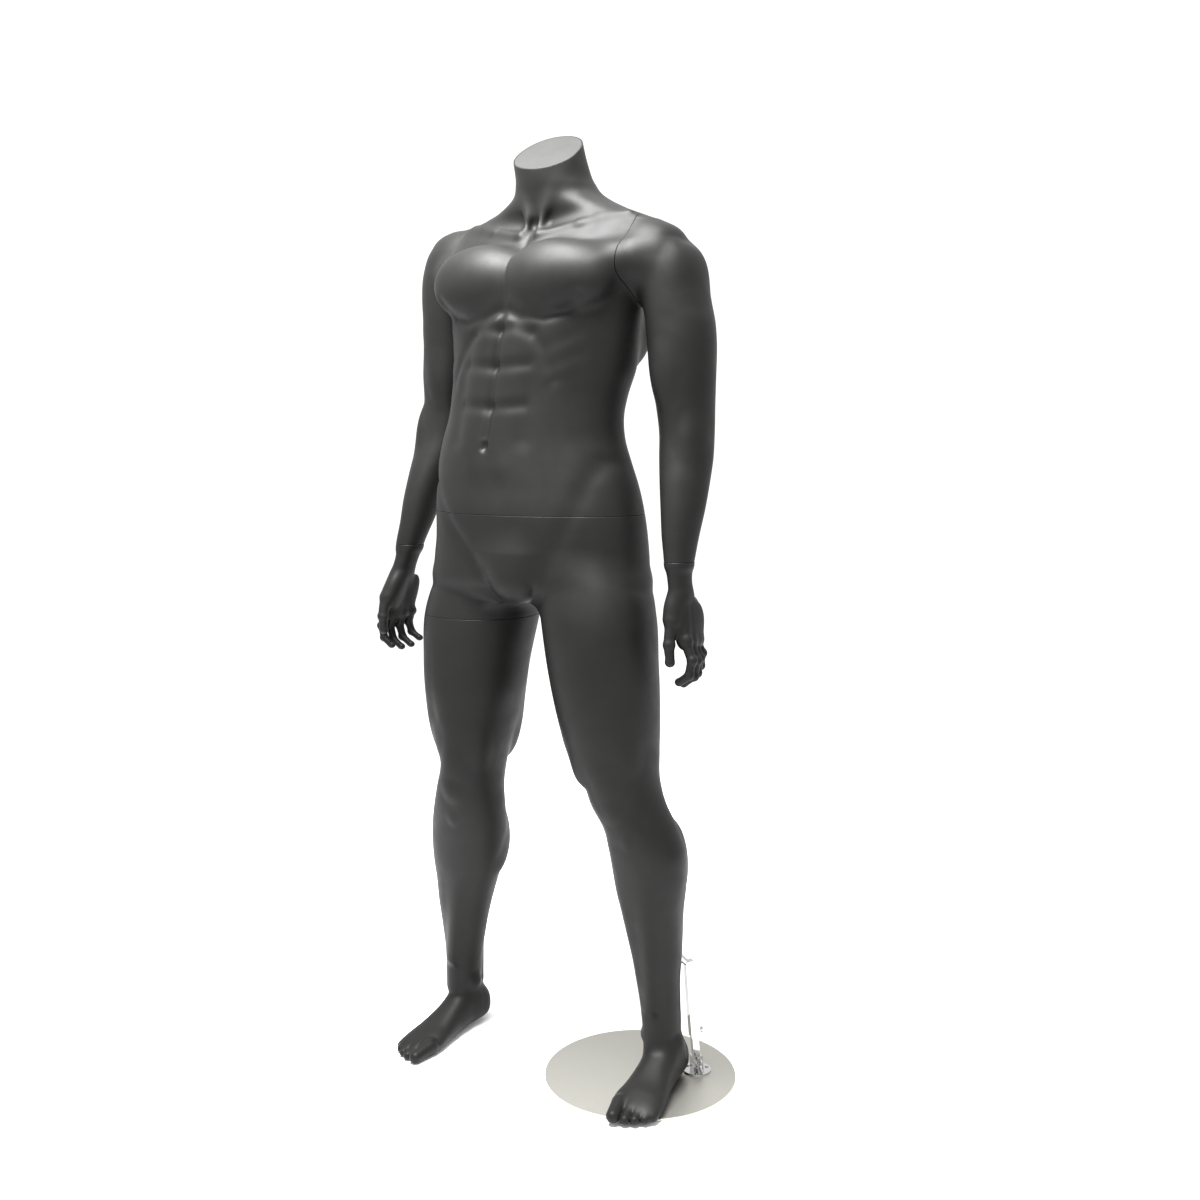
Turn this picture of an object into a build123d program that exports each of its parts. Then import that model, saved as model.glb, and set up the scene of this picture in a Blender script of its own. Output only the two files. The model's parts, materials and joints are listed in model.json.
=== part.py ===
from build123d import *
import math
import os

# A headless male display mannequin on a round calf-rod stand, in millimetres.
# The origin is the centre of the base plate's underside, +Z is up, the chest faces -Y
# and the figure's left side is on +X.

# Moulded body
WALL = 4.0  # glass-fibre shell thickness
GLUE = 0.2  # bond line round a closing plate
SEAM = 0.4  # gap between two shells at a parting seam
PLATE = 9.0  # thickness of a closing plate
RECESS = 3.0  # depth of a closing plate's face below its seam
WAIST_Z = 1030.0
THIGH_Z = 838.0
WRIST_Z = 956.0
CHEST_X = -193.0  # the chest's mid plane
SHOULDER_HALF = 196.0  # from the mid plane to each shoulder seam
SHOULDER_POINT_Z = 1462.0
SHOULDER_TILT = 4.0  # degrees by which a shoulder seam faces upwards
ARM_PLATE_LOW_Z = 1352.0  # below this the arm's own wall closes it
NECK_POINT = (-196.0, -14.0, 1660.5)
NECK_SLOPE = 34.0  # degrees by which the neck's cut is tipped out of level
NECK_TURN = 10.0  # degrees from straight ahead to the left that the cut faces

# Fittings between the body pieces: flange radius, spigot radius or half side, depth
WAIST_FIT = (52.0, 16.0, 60.0)
THIGH_FIT = (38.0, 12.0, 55.0)
SHOULDER_FIT = (26.0, 11.0, 46.0)
WRIST_FIT = (13.0, 5.0, 34.0)
SOCKET_WALL = 3.0
RUNNING = 0.06  # radial clearance of a round spigot in its socket
FACE_GAP = 0.2  # from a flange's face to the seam plane
SCREW_R = 2.0
SCREW_HEAD_R = 3.4
SCREW_HEAD_H = 1.6
SCREW_LENGTH = 10.0

# Stand
BASE_R = 175.0
BASE_T = 4.0
FLANGE_R = 26.0
FLANGE_T = 3.0
STAND_FOOT = (80.0, 69.0)  # where the post leaves the base plate
STAND_HEADING = math.atan2(-0.815, -0.58)  # from the post towards the calf
STAND_LEAN = 5.0  # degrees by which the post leans towards the calf
POST_SIDE = 12.0
SLEEVE_SIDE = 16.0
SOCKET_SIDE = 19.0
SLIDE_GAP = 0.2  # from the post to each bore wall
SOCKET_TOP = 30.0
POST_TOP = 150.0
SLEEVE_BOTTOM = 68.0
SLEEVE_TOP = 214.0
PEG_R = 6.0
PEG_RISE = 45.0  # degrees of the calf peg above level
PEG_LENGTH = 72.0
CALF_SOCKET_R = 9.0
THREAD_R = 3.0
WING_SPAN = 26.0
WING_HEIGHT = 11.0
WING_T = 3.0
PAD_R = 2.6
PAD_T = 1.5

# Body sections: height, centre x, centre y, half width, front depth, back depth, turn in degrees
TRUNK = [
    (980, -190, -50, 206, 125, 135, 10),
    (1030, -192, -50, 202, 122, 122, 10),
    (1080, -200, -47, 199, 120, 110, 8),
    (1120, -206, -45, 191, 118, 102, 7),
    (1160, -209, -43, 181, 115, 98, 6),
    (1200, -206, -40, 175, 115, 100, 4),
    (1240, -202, -35, 177, 118, 106, 3),
    (1280, -196, -32, 184, 125, 115, 2),
    (1320, -194, -30, 190, 130, 121, 0),
    (1360, -193, -30, 196, 136, 122, 0),
    (1400, -193, -25, 204, 134, 121, 0),
    (1440, -193, -18, 214, 116, 118, 0),
    (1475, -193, -8, 222, 95, 108, 0),
    (1505, -193, 0, 222, 76, 92, 0),
    (1530, -192, 6, 205, 62, 76, 0),
    (1549, -191, 8, 165, 62, 72, 0),
    (1564, -190, 8, 125, 64, 72, 0),
    (1582, -191, 6, 91, 66, 71, 0),
    (1605, -192, 1, 73, 66, 69, 0),
    (1640, -194, -8, 65, 63, 66, 0),
    (1680, -197, -17, 62, 62, 64, 0),
    (1730, -201, -28, 62, 62, 64, 0),
]
PELVIS = [
    (1080, -200, -47, 199, 120, 110, 8),
    (1030, -192, -50, 202, 122, 122, 10),
    (980, -190, -50, 206, 119, 135, 10),
    (940, -192, -50, 212, 108, 140, 10),
    (905, -193, -50, 210, 98, 134, 10),
    (874, -193, -50, 172, 76, 108, 10),
]
# The cavity stops above the pelvis's underside, between the thighs
PELVIS_CAVITY = PELVIS[:-1] + [(880, -193, -50, 178, 80, 112, 10)]
CROTCH = (-168.0, -124.0, 926.0)
CROTCH_R = 48.0
LEFT_LEG = [
    (940, -86, -50, 94, 106, 120, 10),
    (900, -70, -50, 100, 110, 125, 10),
    (840, -57, -50, 99, 110, 120, 10),
    (760, -50, -46, 96, 108, 108, 10),
    (710, -44, -44, 93, 105, 100, 10),
    (660, -38, -42, 88, 98, 92, 10),
    (610, -31, -40, 82, 88, 82, 10),
    (560, -17, -38, 71, 78, 70, 10),
    (520, -1, -36, 66, 70, 64, 10),
    (480, 20, -30, 67, 66, 60, 10),
    (440, 31, -26, 70, 60, 65, 10),
    (400, 32, -20, 68, 56, 72, 10),
    (360, 30, -14, 63, 53, 75, 10),
    (320, 29, -8, 56, 50, 72, 10),
    (270, 30, 0, 49, 46, 62, 10),
    (230, 33, 3, 45, 42, 52, 10),
    (190, 35, 5, 40, 40, 46, 10),
    (150, 39, 6, 37, 38, 42, 10),
    (110, 43, 6, 36, 40, 42, 10),
    (70, 46, 4, 34, 42, 40, 10),
    (42, 47, 2, 28, 38, 36, 10),
]
RIGHT_LEG = [
    (940, -296, -54, 94, 106, 120, 10),
    (900, -310, -55, 104, 110, 125, 10),
    (838, -324, -60, 108, 110, 120, 10),
    (760, -325, -70, 101, 108, 108, 10),
    (710, -321, -77, 92, 105, 100, 10),
    (660, -317, -84, 80, 98, 92, 10),
    (610, -312, -90, 67, 90, 82, 10),
    (560, -313, -96, 58, 80, 70, 10),
    (520, -318, -100, 59, 70, 64, 10),
    (480, -325, -96, 68, 66, 60, 10),
    (440, -333, -90, 73, 60, 65, 10),
    (400, -342, -83, 74, 56, 72, 10),
    (360, -353, -75, 69, 53, 75, 10),
    (320, -365, -66, 60, 50, 72, 10),
    (270, -380, -55, 52, 46, 62, 10),
    (230, -389, -47, 46, 42, 52, 10),
    (190, -396, -40, 40, 40, 46, 10),
    (150, -401, -36, 35, 38, 42, 10),
    (110, -404, -34, 34, 40, 42, 10),
    (75, -405, -34, 32, 42, 38, 10),
]
LEFT_ARM = [
    (1534, 12, 8, 22, 22, 26, 0),
    (1524, 20, 8, 40, 38, 42, 0),
    (1500, 32, 10, 58, 58, 58, 0),
    (1465, 44, 12, 65, 67, 67, 0),
    (1420, 54, 14, 66, 69, 70, 0),
    (1380, 60, 14, 63, 67, 69, 0),
    (1340, 65, 14, 58, 64, 66, 0),
    (1280, 70, 16, 54, 60, 64, 0),
    (1220, 74, 20, 49, 54, 58, 0),
    (1170, 77, 20, 46, 48, 54, 0),
    (1130, 80, 14, 46, 50, 50, 0),
    (1090, 84, 4, 43, 50, 46, 0),
    (1040, 90, -10, 36, 44, 40, 0),
    (1000, 94, -20, 30, 38, 34, 0),
    (956, 98, -30, 24, 30, 28, 0),
    (945, 99, -32, 22, 29, 27, 0),
]
# The right elbow is bent a little more, so its forearm lies further out and forward:
# the extra offset grows from nothing at the elbow's top to this at the wrist
RIGHT_ELBOW_Z = 1200.0
RIGHT_WRIST_SHIFT = (-22.0, -30.0)
# The right hand hangs forwards and outwards: its offset for each millimetre below its cuff
RIGHT_HAND_LEAN = (-0.20, -0.32)
CUFF_Z = 945.0

# Left foot and right foot: heel point, toe point, sole height and heel lift
FOOT_LENGTH = 246.0
FOOT_BALL = 185.0
LEFT_HEEL = (42.0, 57.0)
LEFT_TOE = (100.0, -183.0)
LEFT_SOLE_Z = BASE_T + 0.3
RIGHT_HEEL = (-400.0, 24.0)
RIGHT_TOE = (-386.0, -230.0)
RIGHT_HEEL_LIFT = 12.0
# Foot sections from heel to toe: distance, half width, top height, half height
FOOT = [
    (2, 14, 44, 19),
    (14, 27, 62, 34),
    (40, 33, 84, 50),
    (75, 35, 80, 47),
    (110, 38, 62, 36),
    (150, 43, 46, 28),
    (185, 46, 36, 22),
    (215, 43, 28, 17),
    (238, 33, 22, 13),
    (246, 18, 17, 8),
]

# Left hand sections below the wrist seam, in the same form as the body sections
HAND = [
    (960, 98, -30, 24, 30, 28, 0),
    (935, 99, -32, 20, 28, 26, 0),
    (915, 101, -32, 19, 28, 27, 0),
    (890, 104, -28, 20, 34, 34, 0),
    (865, 107, -22, 19, 40, 40, 0),
    (840, 110, -16, 17, 42, 40, 0),
    (818, 112, -12, 14, 41, 38, 0),
    (808, 112, -12, 10, 36, 34, 0),
]
FINGER_Y = (-43.0, -23.0, -3.0, 15.0)
FINGER_SCALE = (0.96, 1.04, 1.0, 0.84)
FINGER_R = (9.2, 8.6, 7.8, 7.2)
FINGER_PATH = [(112, 822), (127, 789), (123, 762), (106, 748)]
THUMB_PATH = [(102, -42, 893), (94, -62, 856), (89, -74, 815), (91, -78, 786)]
THUMB_R = (12.0, 11.5, 10.0, 8.5)

BIG = 1500.0
SEATED = (Align.CENTER, Align.CENTER, Align.MIN)  # a shape standing on its base


def unit(vector):
    return Vector(*vector).normalized()


def ellipse_section(row, inset):
    height, x, y, half_width, front, back, turn = row
    angle = math.radians(turn)
    shift = (back - front) / 2
    centre = (x - shift * math.sin(angle), y + shift * math.cos(angle), height)
    plane = Plane(origin=centre, x_dir=(math.cos(angle), math.sin(angle), 0), z_dir=(0, 0, 1))
    return plane * Ellipse(half_width - inset, (front + back) / 2 - inset)


def limb(rows, inset=0.0):
    return loft([ellipse_section(row, inset) for row in rows])


def beyond(point, normal):
    """All space on the side of a plane that its normal points to."""
    plane = Plane(origin=point, z_dir=normal)
    return plane * Box(BIG, BIG, BIG, align=SEATED)


def slab(point, normal, near, far):
    """The space between two parallel planes, at near and far along the normal."""
    plane = Plane(origin=Vector(*point) + unit(normal) * near, z_dir=normal)
    return plane * Box(BIG, BIG, far - near, align=SEATED)


def mirrored(rows):
    return [(z, 2 * CHEST_X - x, y, w, f, b, -a) for z, x, y, w, f, b, a in rows]


def bend_forearm(rows):
    """Shift each row below the elbow in proportion to its distance from it."""
    moved = []
    for z, x, y, w, f, b, a in rows:
        share = max(0.0, (RIGHT_ELBOW_Z - z) / (RIGHT_ELBOW_Z - WRIST_Z))
        share = math.sqrt(min(1.0, share))
        moved.append((z, x + RIGHT_WRIST_SHIFT[0] * share, y + RIGHT_WRIST_SHIFT[1] * share, w, f, b, a))
    return moved


def one_solid(shape):
    """The largest solid of a cut or a union, without any loose crumbs."""
    return max(shape.solids(), key=lambda solid: solid.volume)


# ---------------------------------------------------------------- fittings


class Fitting:
    """A socket on the parent piece and a spigot on the removable piece.

    point lies on the seam and normal points the way the removable piece pulls off.
    """

    def __init__(self, point, normal, sizes, square, screws):
        self.point = Vector(*point)
        self.normal = unit(normal)
        self.flange_r, self.spigot, self.depth = sizes
        self.square = square
        self.screws = screws
        self.frame = Plane(origin=self.point, z_dir=self.normal)

    def bar(self, size, low, high):
        """A square or round bar along the fitting's axis, size being its half width."""
        place = self.frame * Pos(0, 0, low)
        if self.square:
            return place * Box(2 * size, 2 * size, high - low, align=SEATED)
        return place * Cylinder(size, high - low, align=SEATED)

    def disc(self, radius, low, high):
        place = self.frame * Pos(0, 0, low)
        return place * Cylinder(radius, high - low, align=SEATED)

    def screw_spots(self):
        tube = self.spigot + SOCKET_WALL
        if self.square:
            tube *= math.sqrt(2)
        circle = (tube + self.flange_r) / 2
        for index in range(self.screws):
            angle = 2 * math.pi * (index + 0.5) / self.screws
            yield circle * math.cos(angle), circle * math.sin(angle)

    def screw(self, spot, side, slack=0.0):
        """A countersunk wood screw, going into the parent for side -1, the child for +1."""
        face = side * (FACE_GAP + 0.1)
        if slack:
            face = 0.0
        neck = side * (FACE_GAP + 0.1 + SCREW_HEAD_H)
        tip = side * (FACE_GAP + 0.1 + SCREW_LENGTH)
        x, y = spot
        place = self.frame * Pos(x, y, 0)
        head = Cylinder(SCREW_HEAD_R + slack, abs(neck - face), align=SEATED)
        shank = Cylinder(SCREW_R, abs(tip - neck), align=SEATED)
        return place * (Pos(0, 0, min(face, neck)) * head + Pos(0, 0, min(neck, tip)) * shank)

    def socket(self):
        body = self.disc(self.flange_r, -RECESS, -FACE_GAP)
        body += self.bar(self.spigot + SOCKET_WALL, -self.depth, -FACE_GAP)
        clearance = SLIDE_GAP if self.square else RUNNING
        body -= self.bar(self.spigot + clearance, -self.depth + SOCKET_WALL, 1.0)
        for spot in self.screw_spots():
            body -= self.screw(spot, -1, slack=0.2)
        return one_solid(body)

    def peg(self, tail=0.0):
        body = self.disc(self.flange_r, FACE_GAP, RECESS)
        body += self.bar(self.spigot, -self.depth + SOCKET_WALL + 2.0, FACE_GAP)
        if tail:
            body += self.disc(self.spigot, RECESS, tail)
        if not self.square:
            low = self.ring_height()
            groove = self.disc(self.spigot + 1.0, low - 0.2, low + 1.8)
            groove -= self.disc(self.spigot - 1.5, low - 1.0, low + 3.0)
            body -= groove
        for spot in self.screw_spots():
            body -= self.screw(spot, 1, slack=0.2)
        return one_solid(body)

    def ring_height(self):
        return -self.depth + SOCKET_WALL + 6.0

    def ring(self):
        """A split snap ring that holds the spigot in its socket."""
        low = self.ring_height()
        body = self.disc(self.spigot - 0.04, low, low + 1.6)
        body -= self.disc(self.spigot - 1.4, low - 1.0, low + 3.0)
        slot = self.frame * Pos(self.spigot, 0, low) * Box(self.spigot, 2.5, 8.0)
        return one_solid(body - slot)

    def parent_plate(self, inside):
        plate = inside & slab(self.point, self.normal, -RECESS - PLATE, -RECESS)
        plate -= self.bar(self.spigot + SOCKET_WALL, -RECESS - PLATE - 5, 0)
        for spot in self.screw_spots():
            plate -= self.screw(spot, -1)
        return one_solid(plate)

    def child_plate(self, inside):
        plate = one_solid(inside & slab(self.point, self.normal, RECESS, RECESS + PLATE))
        for spot in self.screw_spots():
            plate -= self.screw(spot, 1)
        return one_solid(plate)

    def parent_screws(self):
        return [one_solid(self.screw(spot, -1)) for spot in self.screw_spots()]

    def child_screws(self):
        return [one_solid(self.screw(spot, 1)) for spot in self.screw_spots()]


TILT = math.radians(SHOULDER_TILT)
LEFT_SHOULDER = (CHEST_X + SHOULDER_HALF, 4.0, SHOULDER_POINT_Z)
RIGHT_SHOULDER = (CHEST_X - SHOULDER_HALF, 4.0, SHOULDER_POINT_Z)
LEFT_OUT = (math.cos(TILT), 0.0, math.sin(TILT))
RIGHT_OUT = (-math.cos(TILT), 0.0, math.sin(TILT))
UP = (0.0, 0.0, 1.0)
DOWN = (0.0, 0.0, -1.0)

RIGHT_ARM = bend_forearm(mirrored(LEFT_ARM))


def wrist_centre(rows):
    row = next(row for row in rows if row[0] == WRIST_Z)
    return (row[1], row[2], WRIST_Z)


LEFT_WRIST = wrist_centre(LEFT_ARM)
RIGHT_WRIST = wrist_centre(RIGHT_ARM)

waist = Fitting((-192.0, -50.0, WAIST_Z), UP, WAIST_FIT, square=True, screws=6)
thigh = Fitting((-324.0, -62.0, THIGH_Z), DOWN, THIGH_FIT, square=True, screws=4)
left_shoulder = Fitting(LEFT_SHOULDER, LEFT_OUT, SHOULDER_FIT, square=False, screws=4)
right_shoulder = Fitting(RIGHT_SHOULDER, RIGHT_OUT, SHOULDER_FIT, square=False, screws=4)
left_wrist = Fitting(LEFT_WRIST, DOWN, WRIST_FIT, square=False, screws=0)
right_wrist = Fitting(RIGHT_WRIST, DOWN, WRIST_FIT, square=False, screws=0)

parts = {}

# ---------------------------------------------------------------- torso

slope = math.radians(NECK_SLOPE)
swing = math.radians(NECK_TURN)
neck_normal = (
    math.sin(slope) * math.sin(swing),
    -math.sin(slope) * math.cos(swing),
    math.cos(slope),
)


def trim_torso(solid):
    gap = SEAM / 2
    solid -= beyond(Vector(*LEFT_SHOULDER) - unit(LEFT_OUT) * gap, LEFT_OUT)
    solid -= beyond(Vector(*RIGHT_SHOULDER) - unit(RIGHT_OUT) * gap, RIGHT_OUT)
    solid -= beyond(NECK_POINT, neck_normal)
    solid -= beyond((0, 0, WAIST_Z + gap), DOWN)
    return one_solid(solid)


trunk_inside = limb(TRUNK, WALL)
trunk_plates = limb(TRUNK, WALL + GLUE)
parts["torso_shell"] = one_solid(trim_torso(limb(TRUNK)) - trunk_inside)
parts["neck_cap"] = one_solid(trunk_plates & slab(NECK_POINT, neck_normal, -5.0, 0.0))
parts["torso_waist_plate"] = waist.child_plate(trunk_plates)
parts["waist_spigot"] = waist.peg()
for side, fitting in (("left", left_shoulder), ("right", right_shoulder)):
    parts[f"torso_{side}_shoulder_plate"] = fitting.parent_plate(trunk_plates)
    parts[f"{side}_shoulder_socket"] = fitting.socket()
    parts[f"{side}_shoulder_ring"] = fitting.ring()
torso_screws = waist.child_screws() + left_shoulder.parent_screws() + right_shoulder.parent_screws()
parts["torso_screws"] = Compound(children=torso_screws)

# ---------------------------------------------------------------- arms and hands


def trim_arm(solid, shoulder, outward):
    gap = SEAM / 2
    solid -= beyond(Vector(*shoulder) + unit(outward) * gap, [-value for value in outward])
    solid -= beyond((0, 0, WRIST_Z + gap), DOWN)
    return one_solid(solid)


def tube_between(start, end, radius):
    axis = Vector(*end) - Vector(*start)
    plane = Plane(origin=start, z_dir=axis)
    return plane * Cylinder(radius, axis.length, align=SEATED)


def digit(path, radii):
    """A finger: ball joints with straight lengths between them, thinner than the balls."""
    shape = Pos(*path[0]) * Sphere(radii[0])
    for index in range(1, len(path)):
        shape += tube_between(path[index - 1], path[index], radii[index] - 0.25)
        shape += Pos(*path[index]) * Sphere(radii[index])
    return shape


def hand_shape(lean):
    """A left hand whose sections and finger joints are moved by lean for each mm below the cuff."""

    def leaned(x, y, z):
        drop = max(0.0, CUFF_Z - z)
        return x + lean[0] * drop, y + lean[1] * drop, z

    rows = []
    for z, x, y, w, f, b, a in HAND:
        x, y, z = leaned(x, y, z)
        rows.append((z, x, y, w, f, b, a))
    hand = limb(rows)
    for y, scale in zip(FINGER_Y, FINGER_SCALE):
        top_x, top_z = FINGER_PATH[0]
        path = [(top_x + (x - top_x) * scale, y, top_z + (z - top_z) * scale) for x, z in FINGER_PATH]
        hand += digit([leaned(*point) for point in path], FINGER_R)
    return hand + digit([leaned(*point) for point in THUMB_PATH], THUMB_R)


def make_arm(side, rows, shoulder, outward, shoulder_fit, wrist_fit):
    shell = trim_arm(limb(rows), shoulder, outward) - limb(rows[1:], WALL)
    inside = limb(rows[1:], WALL + GLUE)
    parts[f"{side}_arm_shell"] = one_solid(shell)
    closed_end = inside - beyond((0, 0, ARM_PLATE_LOW_Z), DOWN)
    parts[f"{side}_arm_shoulder_plate"] = shoulder_fit.child_plate(closed_end)
    parts[f"{side}_shoulder_peg"] = shoulder_fit.peg()
    parts[f"{side}_arm_screws"] = Compound(children=shoulder_fit.child_screws())
    parts[f"{side}_arm_wrist_plug"] = wrist_fit.parent_plate(inside)
    parts[f"{side}_wrist_socket"] = wrist_fit.socket()
    parts[f"{side}_wrist_ring"] = wrist_fit.ring()


def make_hand(side, shape, wrist_fit):
    peg = wrist_fit.peg(tail=24.0)
    hand = shape - beyond((0, 0, WRIST_Z - SEAM / 2), UP)
    parts[f"{side}_hand"] = one_solid(hand - peg)
    parts[f"{side}_wrist_peg"] = peg


make_arm("left", LEFT_ARM, LEFT_SHOULDER, LEFT_OUT, left_shoulder, left_wrist)
make_arm("right", RIGHT_ARM, RIGHT_SHOULDER, RIGHT_OUT, right_shoulder, right_wrist)
make_hand("left", hand_shape((0.0, 0.0)), left_wrist)
unflipped = hand_shape((-RIGHT_HAND_LEAN[0], RIGHT_HAND_LEAN[1]))
flipped = unflipped.mirror(Plane(origin=(CHEST_X, 0, 0), z_dir=(1, 0, 0)))
offset = Vector(*RIGHT_WRIST) - Vector(2 * CHEST_X - LEFT_WRIST[0], LEFT_WRIST[1], WRIST_Z)
make_hand("right", Pos(*offset) * flipped, right_wrist)

# ---------------------------------------------------------------- legs


def foot(heel, toe, sole, lift):
    """A foot along the line from heel to toe, its heel raised and its ball on the sole height."""
    heading = unit((toe[0] - heel[0], toe[1] - heel[1], 0))
    stretch = math.dist(heel, toe) / FOOT_LENGTH
    sections = []
    for along, half_width, top, half_height in FOOT:
        raised = lift * max(0.0, 1 - along / FOOT_BALL)
        centre = Vector(heel[0], heel[1], sole + raised + top - half_height) + heading * along * stretch
        plane = Plane(origin=centre, x_dir=(heading.Y, -heading.X, 0), z_dir=heading)
        sections.append(plane * Ellipse(half_width, half_height))
    shape = loft(sections)
    shape -= beyond((0, 0, sole), DOWN)
    if lift:
        ball = Vector(heel[0], heel[1], sole) + heading * FOOT_BALL * stretch
        pitch = math.atan2(lift, FOOT_BALL * stretch)
        under = (-heading.X * math.sin(pitch), -heading.Y * math.sin(pitch), -math.cos(pitch))
        shape -= beyond(ball, under)
    return one_solid(shape)


lean = math.radians(STAND_LEAN)
towards = Vector(math.cos(STAND_HEADING), math.sin(STAND_HEADING), 0)
stand_axis = Vector(towards.X * math.sin(lean), towards.Y * math.sin(lean), math.cos(lean))
stand_side = Vector(towards.X * math.cos(lean), towards.Y * math.cos(lean), -math.sin(lean))
stand_frame = Plane(origin=(*STAND_FOOT, BASE_T), x_dir=stand_side, z_dir=stand_axis)
rise = math.radians(PEG_RISE)
peg_axis = Vector(towards.X * math.cos(rise), towards.Y * math.cos(rise), math.sin(rise))
peg_start = Vector(*STAND_FOOT, BASE_T) + stand_axis * (SLEEVE_TOP - 8.0)
peg_frame = Plane(origin=peg_start, z_dir=peg_axis)


def peg_bar(radius, low, high):
    return peg_frame * Pos(0, 0, low) * Cylinder(radius, high - low, align=SEATED)


def crotch_bulge(inset):
    """The smooth front of the crotch."""
    return Pos(*CROTCH) * Sphere(CROTCH_R - inset)


calf_hole = peg_bar(CALF_SOCKET_R, 0.0, PEG_LENGTH + 8.0)
right_leg_outer = limb(RIGHT_LEG)
right_leg_inner = limb(RIGHT_LEG[:-1], WALL)
right_leg_plates = limb(RIGHT_LEG[:-1], WALL + GLUE)
thigh_stub = right_leg_outer - beyond((0, 0, THIGH_Z + SEAM / 2), DOWN)
lower_outer = limb(PELVIS) + limb(LEFT_LEG) + one_solid(thigh_stub) + crotch_bulge(0.0)
lower_outer += foot(LEFT_HEEL, LEFT_TOE, LEFT_SOLE_Z, 0.0)
lower_outer = one_solid(lower_outer - beyond((0, 0, WAIST_Z - SEAM / 2), UP))
lower_inner = limb(PELVIS_CAVITY, WALL) + limb(LEFT_LEG[:-1], WALL) + right_leg_inner
lower_inner += crotch_bulge(WALL)
parts["pelvis_left_leg_shell"] = one_solid(lower_outer - lower_inner - calf_hole)
calf_socket = (calf_hole & lower_outer) - peg_bar(PEG_R + RUNNING, -5.0, PEG_LENGTH + 2.0)
parts["calf_socket"] = one_solid(calf_socket)
parts["pelvis_waist_plate"] = waist.parent_plate(limb(PELVIS_CAVITY, WALL + GLUE))
parts["waist_socket"] = waist.socket()
parts["pelvis_thigh_plate"] = thigh.parent_plate(right_leg_plates)
parts["thigh_socket"] = thigh.socket()
parts["lower_body_screws"] = Compound(children=waist.parent_screws() + thigh.parent_screws())

right_leg = right_leg_outer - beyond((0, 0, THIGH_Z - SEAM / 2), UP)
right_leg += foot(RIGHT_HEEL, RIGHT_TOE, 0.0, RIGHT_HEEL_LIFT)
parts["right_leg_shell"] = one_solid(right_leg - right_leg_inner)
parts["right_leg_plate"] = thigh.child_plate(right_leg_plates)
parts["thigh_spigot"] = thigh.peg()
parts["right_leg_screws"] = Compound(children=thigh.child_screws())

# ---------------------------------------------------------------- stand


def stand_bar(side, low, high):
    return stand_frame * Pos(0, 0, low) * Box(side, side, high - low, align=SEATED)


class WingScrew:
    """A wing screw through one wall of a square tube, with a pressure pad against the post."""

    def __init__(self, height, quarter_turns, wall_side):
        angle = quarter_turns * 90.0
        self.frame = stand_frame * Pos(0, 0, height) * Rot(0, 0, angle) * Rot(0, 90, 0)
        self.face = POST_SIDE / 2
        self.wall = wall_side / 2
        self.boss_end = self.wall + 5.0

    def cylinder(self, radius, low, high):
        return self.frame * Pos(0, 0, low) * Cylinder(radius, high - low, align=SEATED)

    def boss(self):
        return self.cylinder(5.5, self.wall - 0.5, self.boss_end)

    def hole(self):
        return self.cylinder(THREAD_R + RUNNING, self.face, self.boss_end + 2.0)

    def pad(self):
        return one_solid(self.cylinder(PAD_R, self.face + 0.1, self.face + PAD_T))

    def screw(self):
        start = self.boss_end + 0.5
        body = self.cylinder(THREAD_R, self.face + PAD_T + 0.1, start)
        body += self.cylinder(5.0, start, start + 4.0)
        wing = Box(WING_SPAN, WING_T, WING_HEIGHT, align=SEATED)
        notch = Pos(0, 0, WING_HEIGHT) * Rot(90, 0, 0) * Cylinder(6.0, 10.0)
        wing = fillet((wing - notch).edges().filter_by(Axis.Y), 1.8)
        body += self.frame * Pos(0, 0, start + 2.0) * wing
        return one_solid(body)


base_plate = Cylinder(BASE_R, BASE_T, align=SEATED)
base_plate = chamfer(base_plate.edges().filter_by(GeomType.CIRCLE), 0.5)
lower_wing = WingScrew(18.0, 1, SOCKET_SIDE)
upper_wing = WingScrew(SLEEVE_BOTTOM + 9.0, 2, SLEEVE_SIDE)
floor_cut = beyond((0, 0, BASE_T), DOWN)

socket_base = Pos(*STAND_FOOT, BASE_T) * Cylinder(FLANGE_R, FLANGE_T, align=SEATED)
socket_base += stand_bar(SOCKET_SIDE, -3.0, SOCKET_TOP)
socket_base += lower_wing.boss()
socket_base -= stand_bar(POST_SIDE + 2 * SLIDE_GAP, 1.8, SOCKET_TOP + 5.0)
socket_base -= lower_wing.hole()
socket_base -= floor_cut
screw_solids = []
for turn in (60, 180, 300):
    x = STAND_FOOT[0] + 20.0 * math.cos(math.radians(turn))
    y = STAND_FOOT[1] + 20.0 * math.sin(math.radians(turn))
    spot = Pos(x, y, 0)
    shank = spot * Pos(0, 0, 0.5) * Cylinder(SCREW_R, BASE_T + FLANGE_T - 0.5, align=SEATED)
    head = spot * Pos(0, 0, BASE_T + FLANGE_T) * Cylinder(SCREW_HEAD_R, 1.8, align=SEATED)
    socket_base -= shank
    base_plate -= shank
    screw_solids.append(one_solid(shank + head))
parts["base_plate"] = one_solid(base_plate)
parts["base_socket"] = one_solid(socket_base)
parts["base_socket_screws"] = Compound(children=screw_solids)
parts["post"] = one_solid(stand_bar(POST_SIDE, 2.0, POST_TOP))
sleeve = stand_bar(SLEEVE_SIDE, SLEEVE_BOTTOM, SLEEVE_TOP) + upper_wing.boss()
sleeve -= stand_bar(POST_SIDE + 2 * SLIDE_GAP, SLEEVE_BOTTOM - 1.0, SLEEVE_TOP - 3.0)
sleeve -= upper_wing.hole()
peg = peg_bar(PEG_R, 0.0, PEG_LENGTH) - stand_bar(POST_SIDE + 2 * SLIDE_GAP, 0.0, SLEEVE_TOP - 3.0)
parts["calf_peg"] = one_solid(peg)
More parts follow.
